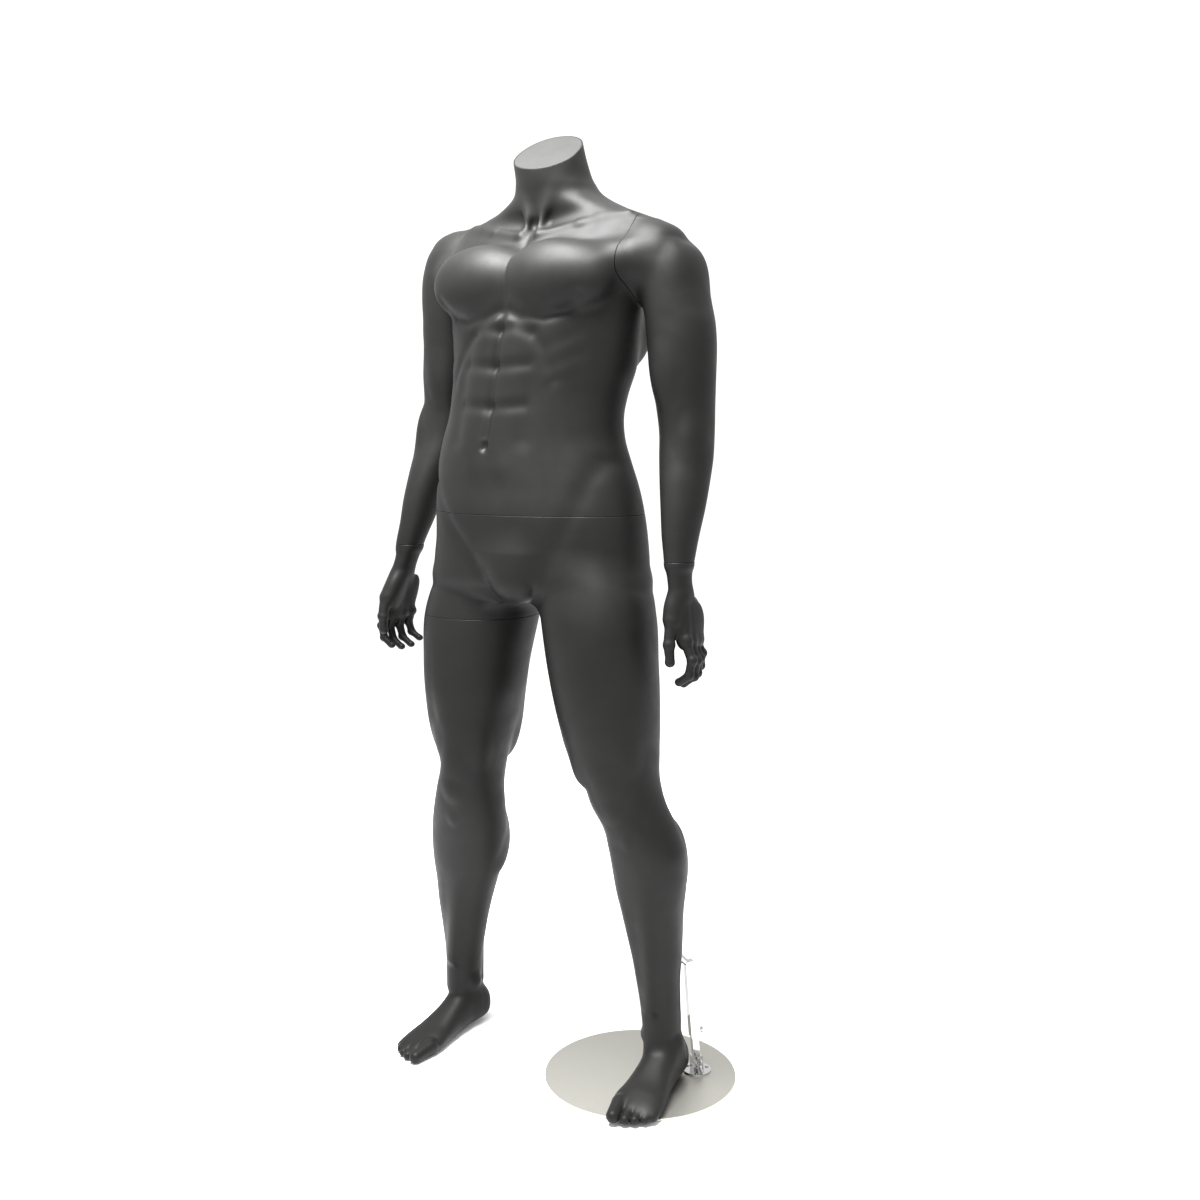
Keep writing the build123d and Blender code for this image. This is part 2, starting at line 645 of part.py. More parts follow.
parts["sleeve"] = one_solid(sleeve - peg_bar(PEG_R, 0.0, PEG_LENGTH))
parts["sleeve_pad"] = upper_wing.pad()
parts["sleeve_wing_screw"] = upper_wing.screw()
parts["socket_pad"] = lower_wing.pad()
parts["socket_wing_screw"] = lower_wing.screw()

# ---------------------------------------------------------------- files

os.makedirs("parts", exist_ok=True)
for name, shape in parts.items():
    export_step(shape, f"parts/{name}.step")
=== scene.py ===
import json
import math

import bmesh
import bpy
import numpy as np
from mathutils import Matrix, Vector


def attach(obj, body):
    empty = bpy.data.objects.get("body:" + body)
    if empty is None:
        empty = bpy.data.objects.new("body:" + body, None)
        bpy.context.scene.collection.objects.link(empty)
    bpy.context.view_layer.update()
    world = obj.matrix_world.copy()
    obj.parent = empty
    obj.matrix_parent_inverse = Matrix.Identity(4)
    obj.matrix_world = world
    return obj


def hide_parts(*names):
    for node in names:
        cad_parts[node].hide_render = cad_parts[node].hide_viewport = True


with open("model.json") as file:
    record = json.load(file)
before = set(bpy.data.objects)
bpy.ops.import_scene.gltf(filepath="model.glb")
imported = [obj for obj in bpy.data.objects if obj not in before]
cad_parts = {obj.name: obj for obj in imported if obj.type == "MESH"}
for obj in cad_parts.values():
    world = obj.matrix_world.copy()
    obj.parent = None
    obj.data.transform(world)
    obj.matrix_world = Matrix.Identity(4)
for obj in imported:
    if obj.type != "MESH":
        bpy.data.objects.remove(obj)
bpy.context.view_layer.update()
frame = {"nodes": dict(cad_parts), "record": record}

# A headless display mannequin on a round calf-rod stand. The body's skins are built here from a
# distance field; the stand, the fittings and the screws are the CAD's own.

MM = 0.001

# ---- camera and lights
# The camera stands to the figure's left front, at waist height, and looks slightly down.

CAMERA_AZIMUTH = math.radians(35.0)
CAMERA_DISTANCE = 2.372
CAMERA_HEIGHT = 1.188
CAMERA_PITCH = math.radians(7.41)
CAMERA_YAW = math.radians(1.78)
LENS = 40.8


def add_camera():
    data = bpy.data.cameras.new("camera")
    data.lens = LENS
    data.sensor_width = 36.0
    camera = bpy.data.objects.new("camera", data)
    x = CAMERA_DISTANCE * math.sin(CAMERA_AZIMUTH)
    y = -CAMERA_DISTANCE * math.cos(CAMERA_AZIMUTH)
    camera.location = (x, y, CAMERA_HEIGHT)
    camera.rotation_euler = (math.pi / 2 - CAMERA_PITCH, 0.0, CAMERA_AZIMUTH + CAMERA_YAW)
    bpy.context.scene.collection.objects.link(camera)
    bpy.context.scene.camera = camera


def add_area_light(name, place, aim, size, power):
    data = bpy.data.lights.new(name, "AREA")
    data.shape = "RECTANGLE"
    data.size, data.size_y = size
    data.energy = power
    light = bpy.data.objects.new(name, data)
    light.location = place
    light.rotation_euler = (Vector(aim) - Vector(place)).to_track_quat("-Z", "Y").to_euler()
    light.visible_camera = False
    bpy.context.scene.collection.objects.link(light)


def add_world(strength):
    world = bpy.data.worlds.new("studio")
    world.use_nodes = True
    background = world.node_tree.nodes["Background"]
    background.inputs["Color"].default_value = (1.0, 1.0, 1.0, 1.0)
    background.inputs["Strength"].default_value = strength
    bpy.context.scene.world = world


# ---- the body as a distance field
# Every body piece is cut from one smooth field, so both sides of a seam meet exactly.

BODY_SQUARENESS = 2.1  # of a cross section: 2 is an ellipse
NEAR = 0.09  # how far outside its own box a shape can still change the field


def smooth_min(a, b, blend):
    gap = np.maximum(blend - np.abs(a - b), 0.0)
    return np.minimum(a, b) - gap * gap / (4.0 * blend)


def smooth_max(a, b, blend):
    return -smooth_min(-a, -b, blend)


def join(total, shape, points, blend):
    """Join a shape into the field; blend is a length, or a function of the points that gives one."""
    near = np.all((points > shape.low - NEAR) & (points < shape.high + NEAR), axis=1)
    if near.any():
        picked = points[near]
        width = blend(picked) if callable(blend) else blend
        total[near] = smooth_min(total[near], shape.distance(picked), width)


def turned(axis_turns):
    """The rotation matrix of turns about X, Y and Z, in degrees."""
    matrix = np.eye(3)
    for axis, degrees in enumerate(axis_turns):
        c, s = math.cos(math.radians(degrees)), math.sin(math.radians(degrees))
        step = np.eye(3)
        i, j = (axis + 1) % 3, (axis + 2) % 3
        step[i, i], step[i, j], step[j, i], step[j, j] = c, -s, s, c
        matrix = step @ matrix
    return matrix


def body_rows(rows, turn=0, squareness=BODY_SQUARENESS):
    """Rows of height, x, y, half width, front, back and perhaps a turn, in the form that Tube takes."""
    return [(z, x, y, w, w, f, b, *(own or [turn]), squareness) for z, x, y, w, f, b, *own in rows]


class Tube:
    """Rounded sections stacked along an axis.

    A row is: place along the axis, centre u, centre v, half width towards -u and +u,
    depth towards -v and +v, turn in degrees, squareness (2 is an ellipse). In millimetres.
    """

    SAMPLES = 300
    END_BLEND = 0.012

    def __init__(self, rows, origin=(0, 0, 0), axes=np.eye(3), lift=None):
        table = np.array(sorted(rows), float)
        table[:, :7] *= MM
        table[:, 7] = np.radians(table[:, 7])
        at = table[:, 0]
        slope = np.gradient(table, at, axis=0)
        self.at = np.linspace(at[0], at[-1], self.SAMPLES)
        index = np.clip(np.searchsorted(at, self.at, side="right") - 1, 0, len(at) - 2)
        span = (at[index + 1] - at[index])[:, None]
        t = (self.at - at[index])[:, None] / span
        t2, t3 = t * t, t * t * t
        self.values = (2 * t3 - 3 * t2 + 1) * table[index] + (t3 - 2 * t2 + t) * span * slope[index]
        self.values += (3 * t2 - 2 * t3) * table[index + 1] + (t3 - t2) * span * slope[index + 1]
        self.origin = np.array(origin, float)
        self.axes = np.array(axes, float)
        self.lift = lift
        ends = np.array([[v[1], v[2], s] for v, s in zip(self.values, self.at)])
        reach = self.values[:, 3:7].max()
        world = self.origin + ends @ self.axes.T
        self.low = world.min(0) - reach
        self.high = world.max(0) + reach

    def spot(self, z, across, deep):
        """A point in millimetres: across and deep are shares of the section's half width and depth."""
        row = [np.interp(z * MM, self.at, self.values[:, k]) for k in range(1, 9)]
        u = across * (row[3] if across > 0 else row[2])
        v = deep * (row[5] if deep > 0 else row[4])
        c, s = math.cos(row[6]), math.sin(row[6])
        return (row[0] + c * u - s * v) / MM, (row[1] + s * u + c * v) / MM, z

    def distance(self, points):
        local = (points - self.origin) @ self.axes
        if self.lift is not None:
            local[:, 1] -= self.lift(local[:, 2])
        along = np.clip(local[:, 2], self.at[0], self.at[-1])
        u0, v0, right, left, front, back, turn, power = (
            np.interp(along, self.at, self.values[:, k]) for k in range(1, 9)
        )
        u, v = local[:, 0] - u0, local[:, 1] - v0
        c, s = np.cos(turn), np.sin(turn)
        u, v = c * u + s * v, c * v - s * u
        wide = np.where(u < 0, right, left)
        deep = np.where(v < 0, front, back)
        ratio = (np.abs(u / wide) ** power + np.abs(v / deep) ** power) ** (1 / power)
        radius = np.hypot(u, v)
        side = np.maximum(radius * (1 - 1 / np.maximum(ratio, 1e-4)), -np.minimum(wide, deep))
        half = (self.at[-1] - self.at[0]) / 2
        end = np.abs(local[:, 2] - (self.at[0] + half)) - half
        return smooth_max(side, end, self.END_BLEND)


class Ball:
    """An ellipsoid, turned about X, Y and Z."""

    def __init__(self, centre, radii, turn=(0, 0, 0)):
        self.centre = np.array(centre, float) * MM
        self.radii = np.array(radii, float) * MM
        self.axes = turned(turn)
        self.low = self.centre - self.radii.max()
        self.high = self.centre + self.radii.max()

    def distance(self, points):
        local = (points - self.centre) @ self.axes
        scaled = local / self.radii
        near = np.sqrt((scaled**2).sum(1))
        steep = np.sqrt(((scaled / self.radii) ** 2).sum(1))
        return near * (near - 1) / np.maximum(steep, 1e-6)


class Bone:
    """A round bar between two points, with a radius at each end."""

    def __init__(self, start, end, start_r, end_r):
        self.start = np.array(start, float) * MM
        self.span = np.array(end, float) * MM - self.start
        self.radii = (start_r * MM, end_r * MM)
        reach = max(self.radii)
        both = np.array([self.start, self.start + self.span])
        self.low, self.high = both.min(0) - reach, both.max(0) + reach

    def distance(self, points):
        offset = points - self.start
        t = np.clip(offset @ self.span / (self.span @ self.span), 0, 1)
        away = np.sqrt(((offset - t[:, None] * self.span) ** 2).sum(1))
        return away - (self.radii[0] + t * (self.radii[1] - self.radii[0]))


class Group:
    """Shapes joined one after another, each with its own blend radius in millimetres."""

    def __init__(self, first):
        self.shapes = [(first, 0.0)]

    def add(self, shape, blend):
        self.shapes.append((shape, blend * MM))

    @property
    def low(self):
        return np.min([shape.low for shape, _ in self.shapes], axis=0)

    @property
    def high(self):
        return np.max([shape.high for shape, _ in self.shapes], axis=0)

    def distance(self, points):
        total = self.shapes[0][0].distance(points)
        for shape, blend in self.shapes[1:]:
            join(total, shape, points, blend)
        return total


class Strokes:
    """Grooves and ridges drawn on one side of the body.

    Each stroke is (points, width, height): points as (distance from the middle line, height).
    middle gives that line's x at each height.
    """

    FADE = 0.04  # depth over which the strokes fade out towards the other side
    REACH = 2.6  # widths beyond which a stroke is too faint to matter

    def __init__(self, middle, depth, front, strokes):
        """front is 1 for strokes on the -Y side and -1 for strokes on the +Y side of depth."""
        self.middle = np.array(sorted(middle), float) * MM
        self.depth = depth * MM
        self.front = front
        self.strokes = strokes

    def height(self, points):
        local = points.copy()
        local[:, 0] -= np.interp(points[:, 2], self.middle[:, 0], self.middle[:, 1])
        local[:, 1] -= self.depth
        total = np.zeros(len(points))
        facing = np.clip(0.5 - self.front * local[:, 1] / self.FADE, 0, 1)
        for path, width, height in self.strokes:
            path = np.array(path, float) * MM
            width *= MM
            flat = local[:, [0, 2]]
            reach = self.REACH * width
            near = np.all((flat > path.min(0) - reach) & (flat < path.max(0) + reach), axis=1)
            near &= facing > 0
            if not near.any():
                continue
            spot = flat[near]
            best = np.full(len(spot), np.inf)
            for a, b in zip(path[:-1], path[1:]):
                span = b - a
                t = np.clip((spot - a) @ span / max(span @ span, 1e-12), 0, 1)
                best = np.minimum(best, ((spot - a - t[:, None] * span) ** 2).sum(1))
            total[near] += height * MM * np.exp(-best / width**2) * facing[near]
        return total


def both(strokes):
    """Each stroke and its mirror image."""
    return strokes + [([(-x, z) for x, z in path], width, height) for path, width, height in strokes]


# ---- the figure's proportions
# Sections and muscles, in millimetres. The chest faces -Y and the pelvis is turned by 10 degrees.
# A trunk row is: height, x, y, half width, front, back, turn in degrees. A leg row has no turn.

CHEST_X = -193.0
WAIST_Z = 1030.0
THIGH_Z = 838.0
WRIST_Z = 956.0
SHOULDER_TILT = math.radians(4.0)
NECK_SLOPE = math.radians(34.0)
NECK_TURN = math.radians(10.0)
BETWEEN_LEGS_X = -186.0
PELVIS_CENTRE = (-192.0, -50.0)
PELVIS_TURN = math.radians(10.0)
LEG_TURN = 10

TRUNK = [
    (874, -193, -50, 172, 74, 108, 10),
    (905, -193, -50, 208, 103, 130, 10),
    (940, -192, -50, 210, 112, 132, 10),
    (980, -190, -50, 206, 117, 128, 10),
    (1030, -192, -50, 202, 121, 118, 10),
    (1080, -200, -47, 199, 118, 106, 8),
    (1120, -206, -45, 191, 115, 99, 7),
    (1160, -209, -43, 181, 112, 96, 6),
    (1200, -206, -40, 175, 110, 98, 4),
    (1240, -202, -35, 177, 111, 104, 3),
    (1280, -196, -32, 184, 113, 112, 2),
    (1320, -194, -30, 189, 114, 117, 0),
    (1360, -193, -30, 192, 114, 117, 0),
    (1400, -193, -25, 198, 112, 115, 0),
    (1440, -193, -18, 210, 104, 111, 0),
    (1475, -193, -8, 222, 90, 103, 0),
    (1505, -195, 0, 224, 74, 90, 0),
    (1530, -195, 6, 208, 62, 76, 0),
    (1549, -195, 8, 168, 60, 71, 0),
    (1564, -195, 8, 125, 62, 71, 0),
    (1582, -193, 6, 87, 64, 70, 0),
    (1605, -192, 1, 71, 65, 69, 0),
    (1640, -195, -8, 65, 63, 66, 0),
    (1680, -197, -17, 62, 62, 64, 0),
    (1740, -201, -30, 62, 62, 64, 0),
]
LEFT_LEG = [
    (975, -98, -50, 66, 64, 80),
    (940, -86, -50, 88, 84, 104),
    (900, -70, -50, 98, 93, 114),
    (850, -59, -50, 99, 102, 114),
    (760, -50, -46, 95, 105, 105),
    (710, -44, -44, 92, 102, 98),
    (660, -38, -42, 87, 96, 91),
    (610, -31, -40, 80, 87, 82),
    (560, -14, -38, 66, 77, 70),
    (520, -1, -36, 66, 69, 64),
    (480, 20, -30, 66, 65, 60),
    (440, 31, -26, 69, 60, 64),
    (400, 32, -20, 67, 56, 70),
    (360, 30, -14, 62, 53, 72),
    (320, 29, -8, 55, 49, 70),
    (270, 30, 0, 49, 45, 61),
    (230, 33, 3, 44, 41, 52),
    (190, 35, 5, 39, 39, 46),
    (150, 39, 6, 36, 37, 41),
    (110, 43, 6, 34, 38, 40),
    (70, 46, 4, 31, 40, 38),
    (42, 47, 2, 24, 34, 30),
]
RIGHT_LEG = [
    (975, -286, -52, 66, 64, 80),
    (940, -296, -54, 88, 84, 104),
    (900, -309, -55, 100, 94, 114),
    (850, -321, -58, 105, 103, 114),
    (760, -324, -70, 96, 104, 104),
    (710, -320, -77, 87, 101, 97),
    (660, -316, -84, 72, 93, 90),
    (610, -311, -90, 61, 85, 81),
    (560, -312, -96, 55, 79, 70),
    (520, -318, -100, 60, 69, 64),
    (480, -325, -96, 67, 65, 60),
    (440, -333, -90, 72, 60, 64),
    (400, -342, -83, 72, 56, 70),
    (360, -353, -75, 67, 53, 72),
    (320, -365, -66, 59, 49, 70),
    (270, -380, -55, 51, 45, 61),
    (230, -389, -47, 45, 41, 52),
    (190, -396, -40, 39, 39, 46),
    (150, -401, -36, 34, 37, 41),
    (110, -404, -34, 32, 38, 40),
    (75, -405, -34, 30, 40, 36),
]
# An arm row is: height, x, y, inner and outer half width, front, back
LEFT_ARM = [
    (1529, 12, 8, 22, 20, 22, 26),
    (1517, 20, 8, 40, 34, 38, 42),
    (1494, 32, 10, 58, 40, 57, 57),
    (1460, 44, 12, 65, 46, 65, 65),
    (1420, 54, 14, 60, 53, 66, 68),
    (1380, 60, 14, 53, 57, 63, 66),
    (1358, 62, 14, 51, 61, 61, 64),
    (1340, 65, 14, 53, 60, 60, 63),
    (1280, 70, 16, 54, 56, 56, 61),
    (1220, 74, 20, 48, 49, 52, 56),
    (1170, 77, 20, 45, 46, 47, 53),
    (1130, 80, 14, 43, 46, 48, 50),
    (1090, 84, 4, 38, 43, 48, 46),
    (1040, 90, -10, 33, 37, 43, 40),
    (1000, 94, -20, 30, 30, 37, 34),
    (956, 98, -30, 24, 24, 30, 28),
    (930, 100, -36, 21, 21, 27, 26),
]
RIGHT_ELBOW_Z = 1200.0
RIGHT_WRIST_SHIFT = (-22.0, -30.0)
# Heights, and at each how much wider the right arm is on its outer side than the left
RIGHT_ARM_OUTER = (
    (960, 1000, 1060, 1170, 1220, 1280, 1340, 1380, 1460),
    (0, -5, -4, 10, 12, 3, -4, 4, 26),
)
# Heights, and at each how far the right shoulder is raised
RIGHT_ARM_RAISED = ((1380, 1500), (0, 16))


def right_arm_rows():
    """The left arm mirrored, with the forearm bent a little further out and forward."""
    rows = []
    for z, x, y, inner, outer, front, back in LEFT_ARM:
        below_elbow = (RIGHT_ELBOW_Z - z) / (RIGHT_ELBOW_Z - WRIST_Z)
        share = math.sqrt(min(1.0, max(0.0, below_elbow)))
        x = 2 * CHEST_X - x + RIGHT_WRIST_SHIFT[0] * share
        y += RIGHT_WRIST_SHIFT[1] * share
        outer += np.interp(z, *RIGHT_ARM_OUTER)
        z += np.interp(z, *RIGHT_ARM_RAISED)
        rows.append((z, x, y, outer, inner, front, back, 0, BODY_SQUARENESS))
    return rows


# Height and x of the body's middle line, in front and behind: it follows the turn of the waist
FRONT_MIDDLE = [
    (1700, -197), (1510, -195), (1476, -191), (1406, -192), (1348, -199), (1287, -210),
    (1224, -219), (1142, -224), (1085, -208), (1030, -188), (940, -170), (860, -168),
]
BACK_MIDDLE = [
    (1700, -190), (1360, -193), (1280, -199), (1200, -213), (1160, -219),
    (1120, -218), (1080, -215), (1030, -213), (940, -214), (860, -214),
]
# Strokes: points as (distance from the middle line, height), width, height of the ridge
FRONT_LINES = both([
    ([(10, 1380), (40, 1368), (85, 1363), (125, 1374), (152, 1402)], 10, -4.5),
    ([(37, 1345), (37, 1190), (30, 1120)], 30, 4.5),
    ([(4, 1346), (34, 1350), (64, 1340)], 11, -4.0),
    ([(4, 1284), (66, 1288)], 11, -4.0),
    ([(4, 1214), (66, 1218)], 11, -3.6),
    ([(76, 1340), (82, 1290), (82, 1210), (76, 1160)], 18, -3.0),
    ([(14, 1374), (56, 1352), (92, 1312), (116, 1262)], 10, -2.5),
    ([(104, 1318), (146, 1338)], 12, -1.3),
    ([(108, 1284), (152, 1304)], 12, -1.3),
    ([(110, 1250), (152, 1270)], 12, -1.0),
    ([(186, 1120), (150, 1062), (112, 1006), (80, 962), (60, 930)], 15, -4.2),
    ([(36, 1538), (112, 1553)], 16, -9.0),
    ([(120, 1500), (170, 1478)], 16, -2.0),
]) + [
    ([(0, 1500), (0, 1384)], 7, -3.0),
    ([(0, 1372), (0, 1165)], 8, -5.0),
    ([(0, 1150), (0, 1145)], 6.5, -7.5),
    ([(0, 1526), (0, 1530)], 13, -9.0),
    ([(0, 1080), (0, 1000)], 55, 2.0),
]
BACK_LINES = both([
    ([(40, 1300), (36, 1180), (34, 1100)], 22, 4.0),
    ([(38, 1500), (62, 1430), (52, 1370), (90, 1330)], 12, -3.5),
    ([(46, 1056), (48, 1052)], 10, -3.5),
    ([(30, 858), (86, 866), (140, 884)], 12, -6.0),
]) + [
    ([(0, 1540), (0, 1090)], 12, -7.0),
    ([(0, 1030), (0, 868)], 11, -17.0),
]


def pair(group, centre, radii, turn, blend):
    """An ellipsoid on each side of the chest's mid plane; its x counts from that plane."""
    x, y, z = centre
    group.add(Ball((CHEST_X + x, y, z), radii, turn), blend)
    group.add(Ball((CHEST_X - x, y, z), radii, (turn[0], -turn[1], -turn[2])), blend)


def pair_bones(group, start, end, start_r, end_r, blend):
    for side in (1, -1):
        near = (CHEST_X + side * start[0], start[1], start[2])
        far = (CHEST_X + side * end[0], end[1], end[2])
        group.add(Bone(near, far, start_r, end_r), blend)


def pelvis_point(across, deep, z):
    c, s = math.cos(PELVIS_TURN), math.sin(PELVIS_TURN)
    return PELVIS_CENTRE[0] + c * across - s * deep, PELVIS_CENTRE[1] + s * across + c * deep, z


def trunk_shape():
    trunk = Group(Tube(body_rows(TRUNK)))
    pair(trunk, (80, -94, 1430), (112, 62, 69), (0, 0, 0), 16)
    pair_bones(trunk, (120, -92, 1444), (196, -38, 1458), 40, 40, 22)
    pair(trunk, (132, 26, 1364), (38, 74, 84), (0, 0, 0), 16)
    pair(trunk, (84, 60, 1435), (70, 40, 72), (0, 0, -8), 18)
    trunk.add(Bone((-262, 16, 1567), (-354, 12, 1537), 15, 15), 26)
    trunk.add(Bone((-140, 18, 1584), (-74, 13, 1544), 17, 17), 24)
    pair_bones(trunk, (44, -22, 1640), (13, -60, 1524), 8, 7, 18)
    pair_bones(trunk, (20, -67, 1512), (96, -45, 1526), 8, 8, 14)
    pair_bones(trunk, (96, -45, 1526), (172, -14, 1538), 8, 9, 14)
    for side in (1, -1):
        trunk.add(Ball(pelvis_point(side * 82, 78, 948), (88, 66, 84), (0, 0, 10)), 34)
    return trunk


LEG_MUSCLES = [
    # height, across (outwards is +), deep (back is +), radii, blend
    (705, 0.50, -0.20, (40, 58, 150), 14),
    (725, -0.48, 0.05, (34, 58, 112), 14),
    (606, -0.42, -0.54, (24, 28, 50), 12),
    (622, 0.50, -0.48, (28, 30, 58), 12),
    (700, 0.35, 0.52, (36, 42, 140), 14),
    (700, -0.35, 0.52, (36, 42, 140), 14),
    (524, 0.02, -0.74, (23, 20, 28), 9),
    (472, 0.0, -0.72, (13, 16, 22), 9),
    (408, -0.44, 0.46, (32, 36, 74), 14),
    (420, 0.42, 0.46, (28, 31, 66), 12),
]
ARM_MUSCLES = [
    (1432, 0.22, -0.30, (38, 38, 58), 10),
    (1426, 0.40, 0.06, (32, 44, 60), 10),
    (1432, 0.12, 0.42, (40, 36, 58), 12),
    (1285, -0.10, -0.50, (33, 33, 76), 10),
    (1318, 0.20, 0.46, (33, 34, 86), 12),
    (1292, -0.44, 0.32, (24, 31, 74), 10),
    (1214, 0.06, 0.80, (12, 12, 18), 8),
    (1152, 0.42, -0.30, (24, 30, 72), 10),
    (1142, -0.36, 0.10, (25, 32, 76), 10),
]


def limb(rows, muscles, side):
    """A tube with muscles placed on it; side is 1 for a left limb and -1 for a right one."""
    tube = Tube(rows)
    group = Group(tube)
    for z, across, deep, radii, blend in muscles:
        group.add(Ball(tube.spot(z, side * across, deep), radii), blend)
    return group


class Foot(Tube):
    """A foot along the line from heel to toe, with a flat sole and five toes."""

    ROWS = [
        # distance, side, centre height, inner and outer half width, height below and above
        (3, 0, 29, 19, 20, 22, 24),
        (15, 0, 33, 28, 31, 32, 36),
        (42, 0, 36, 33, 37, 36, 54),
        (75, 0, 33, 32, 37, 33, 50),
        (110, 0, 25, 34, 37, 27, 38),
        (150, 0, 18, 40, 43, 21, 26),
        (182, 0, 14, 45, 46, 17, 20),
        (204, 1, 11, 41, 43, 14, 14),
        (218, 2, 9, 33, 36, 10, 8),
    ]
    LENGTH = 246.0  # heel to toe, for the sizes above
    BALL = 0.185  # distance of the ball of the foot, which stays down when the heel is lifted
    # Toe: base (distance, side), tip (distance, side), radius at each; inwards is negative
    TOES = [
        ((196, -28), (234, -25), 14.0, 12.0),
        ((200, -6), (232, -4), 10.0, 8.6),
        ((197, 10), (226, 12), 9.2, 8.0),
        ((191, 24), (217, 26), 8.6, 7.4),
        ((182, 36), (205, 38), 8.2, 7.0),
    ]

    def __init__(self, heel, toe, sole, side, lift=0.0, width=1.0):
        heading = np.array([toe[0] - heel[0], toe[1] - heel[1], 0.0])
        length = np.linalg.norm(heading)
        stretch = length / self.LENGTH
        heading /= length
        across = np.array([-heading[1], heading[0], 0.0])
        axes = np.column_stack([across, (0, 0, 1), heading])
        rows = []
        for along, shift, height, inner, outer, below, above in self.ROWS:
            wide = (inner, outer) if side > 0 else (outer, inner)
            wide = [half * width for half in wide]
            rows.append((along * stretch, side * shift, height, *wide, below, above * width, 0, 2.3))
        ball = self.BALL * stretch

        def raised(along):
            return lift * MM * np.clip(1 - along / ball, 0, None)

        super().__init__(rows, np.array([*heel, sole]) * MM, axes, raised)
        self.high[2] += (lift + 20) * MM
        self.toes = []
        for base, tip, base_r, tip_r in self.TOES:
            start = axes @ (side * base[1], base_r + 3, base[0] * stretch) + (*heel, sole)
            end = axes @ (side * tip[1], tip_r * 0.9, tip[0] * stretch) + (*heel, sole)
            self.toes.append(Bone(start, end, base_r, tip_r))
        self.low = np.min([self.low, *(toe.low for toe in self.toes)], axis=0)
        self.high = np.max([self.high, *(toe.high for toe in self.toes)], axis=0)

    def distance(self, points):
        total = super().distance(points)
        toes = self.toes[0].distance(points)
        for bone in self.toes[1:]:
            toes = smooth_min(toes, bone.distance(points), 1.5 * MM)
        local = (points - self.origin) @ self.axes
        total = smooth_min(total, toes, 7 * MM)
        return smooth_max(total, self.lift(local[:, 2]) - local[:, 1], 5 * MM)


HIP_BLEND = 0.028


def arm_blend(points):
    """The arm flows into the shoulder above the armpit and stays clear of the side below it."""
    return np.interp(points[:, 2], [1.345, 1.40], [0.003, 0.026])


def crotch_blend(points):
    """The crotch runs into the belly above and stands proud of the thighs below."""
    return np.interp(points[:, 2], [0.905, 0.965], [0.005, 0.045])


class Figure:
    """The whole body without its hands."""

    def __init__(self):
        self.trunk = trunk_shape()
        left = limb(body_rows(LEFT_LEG, LEG_TURN), LEG_MUSCLES, 1)
        right = limb(body_rows(RIGHT_LEG, LEG_TURN), LEG_MUSCLES, -1)
        left.add(Bone((44, -52, 430), (45, -22, 150), 17, 13), 14)
        left.add(Bone((36, 40, 210), (36, 42, 66), 10, 12), 14)
        left.add(Ball((18, 0, 86), (12, 15, 15)), 12)
        left.add(Ball((74, 8, 74), (12, 14, 15)), 12)
        left.add(Foot((40, 57), (95, -184), 4.3, 1), 14)
        right.add(Bone((-327, -112, 430), (-399, -66, 150), 17, 13), 14)
        right.add(Bone((-394, 1, 200), (-404, 8, 80), 9, 11), 12)
        right.add(Ball((-378, -34, 96), (12, 15, 15)), 12)
        right.add(Ball((-431, -28, 84), (12, 14, 15)), 12)
        right.add(Foot((-400, 24), (-386, -230), 0.0, -1, lift=6, width=0.9), 14)
        self.legs = [left, right]
        left_arm_rows = [(*row, 0, BODY_SQUARENESS) for row in LEFT_ARM]
        self.arms = [limb(left_arm_rows, ARM_MUSCLES, 1), limb(right_arm_rows(), ARM_MUSCLES, -1)]
        self.lines = [
            Strokes(FRONT_MIDDLE, -30, 1, FRONT_LINES),
            Strokes(BACK_MIDDLE, -20, -1, BACK_LINES),
        ]
        self.bulge = Ball((-175, -127, 929), (56, 53, 56))

    def distance(self, points):
        total = self.trunk.distance(points)
        for lines in self.lines:
            total -= lines.height(points)
        for leg in self.legs:
            join(total, leg, points, HIP_BLEND)
        for arm in self.arms:
            join(total, arm, points, arm_blend)
        join(total, self.bulge, points, crotch_blend)
        return total

    def without_right_leg(self, points):
        """The same, but empty a little below the right thigh's seam."""
        total = np.full(len(points), 0.05)
        wanted = (points[:, 0] > BETWEEN_LEGS_X * MM) | (points[:, 2] > (THIGH_Z - 12) * MM)
        total[wanted] = self.distance(points[wanted])
        return total


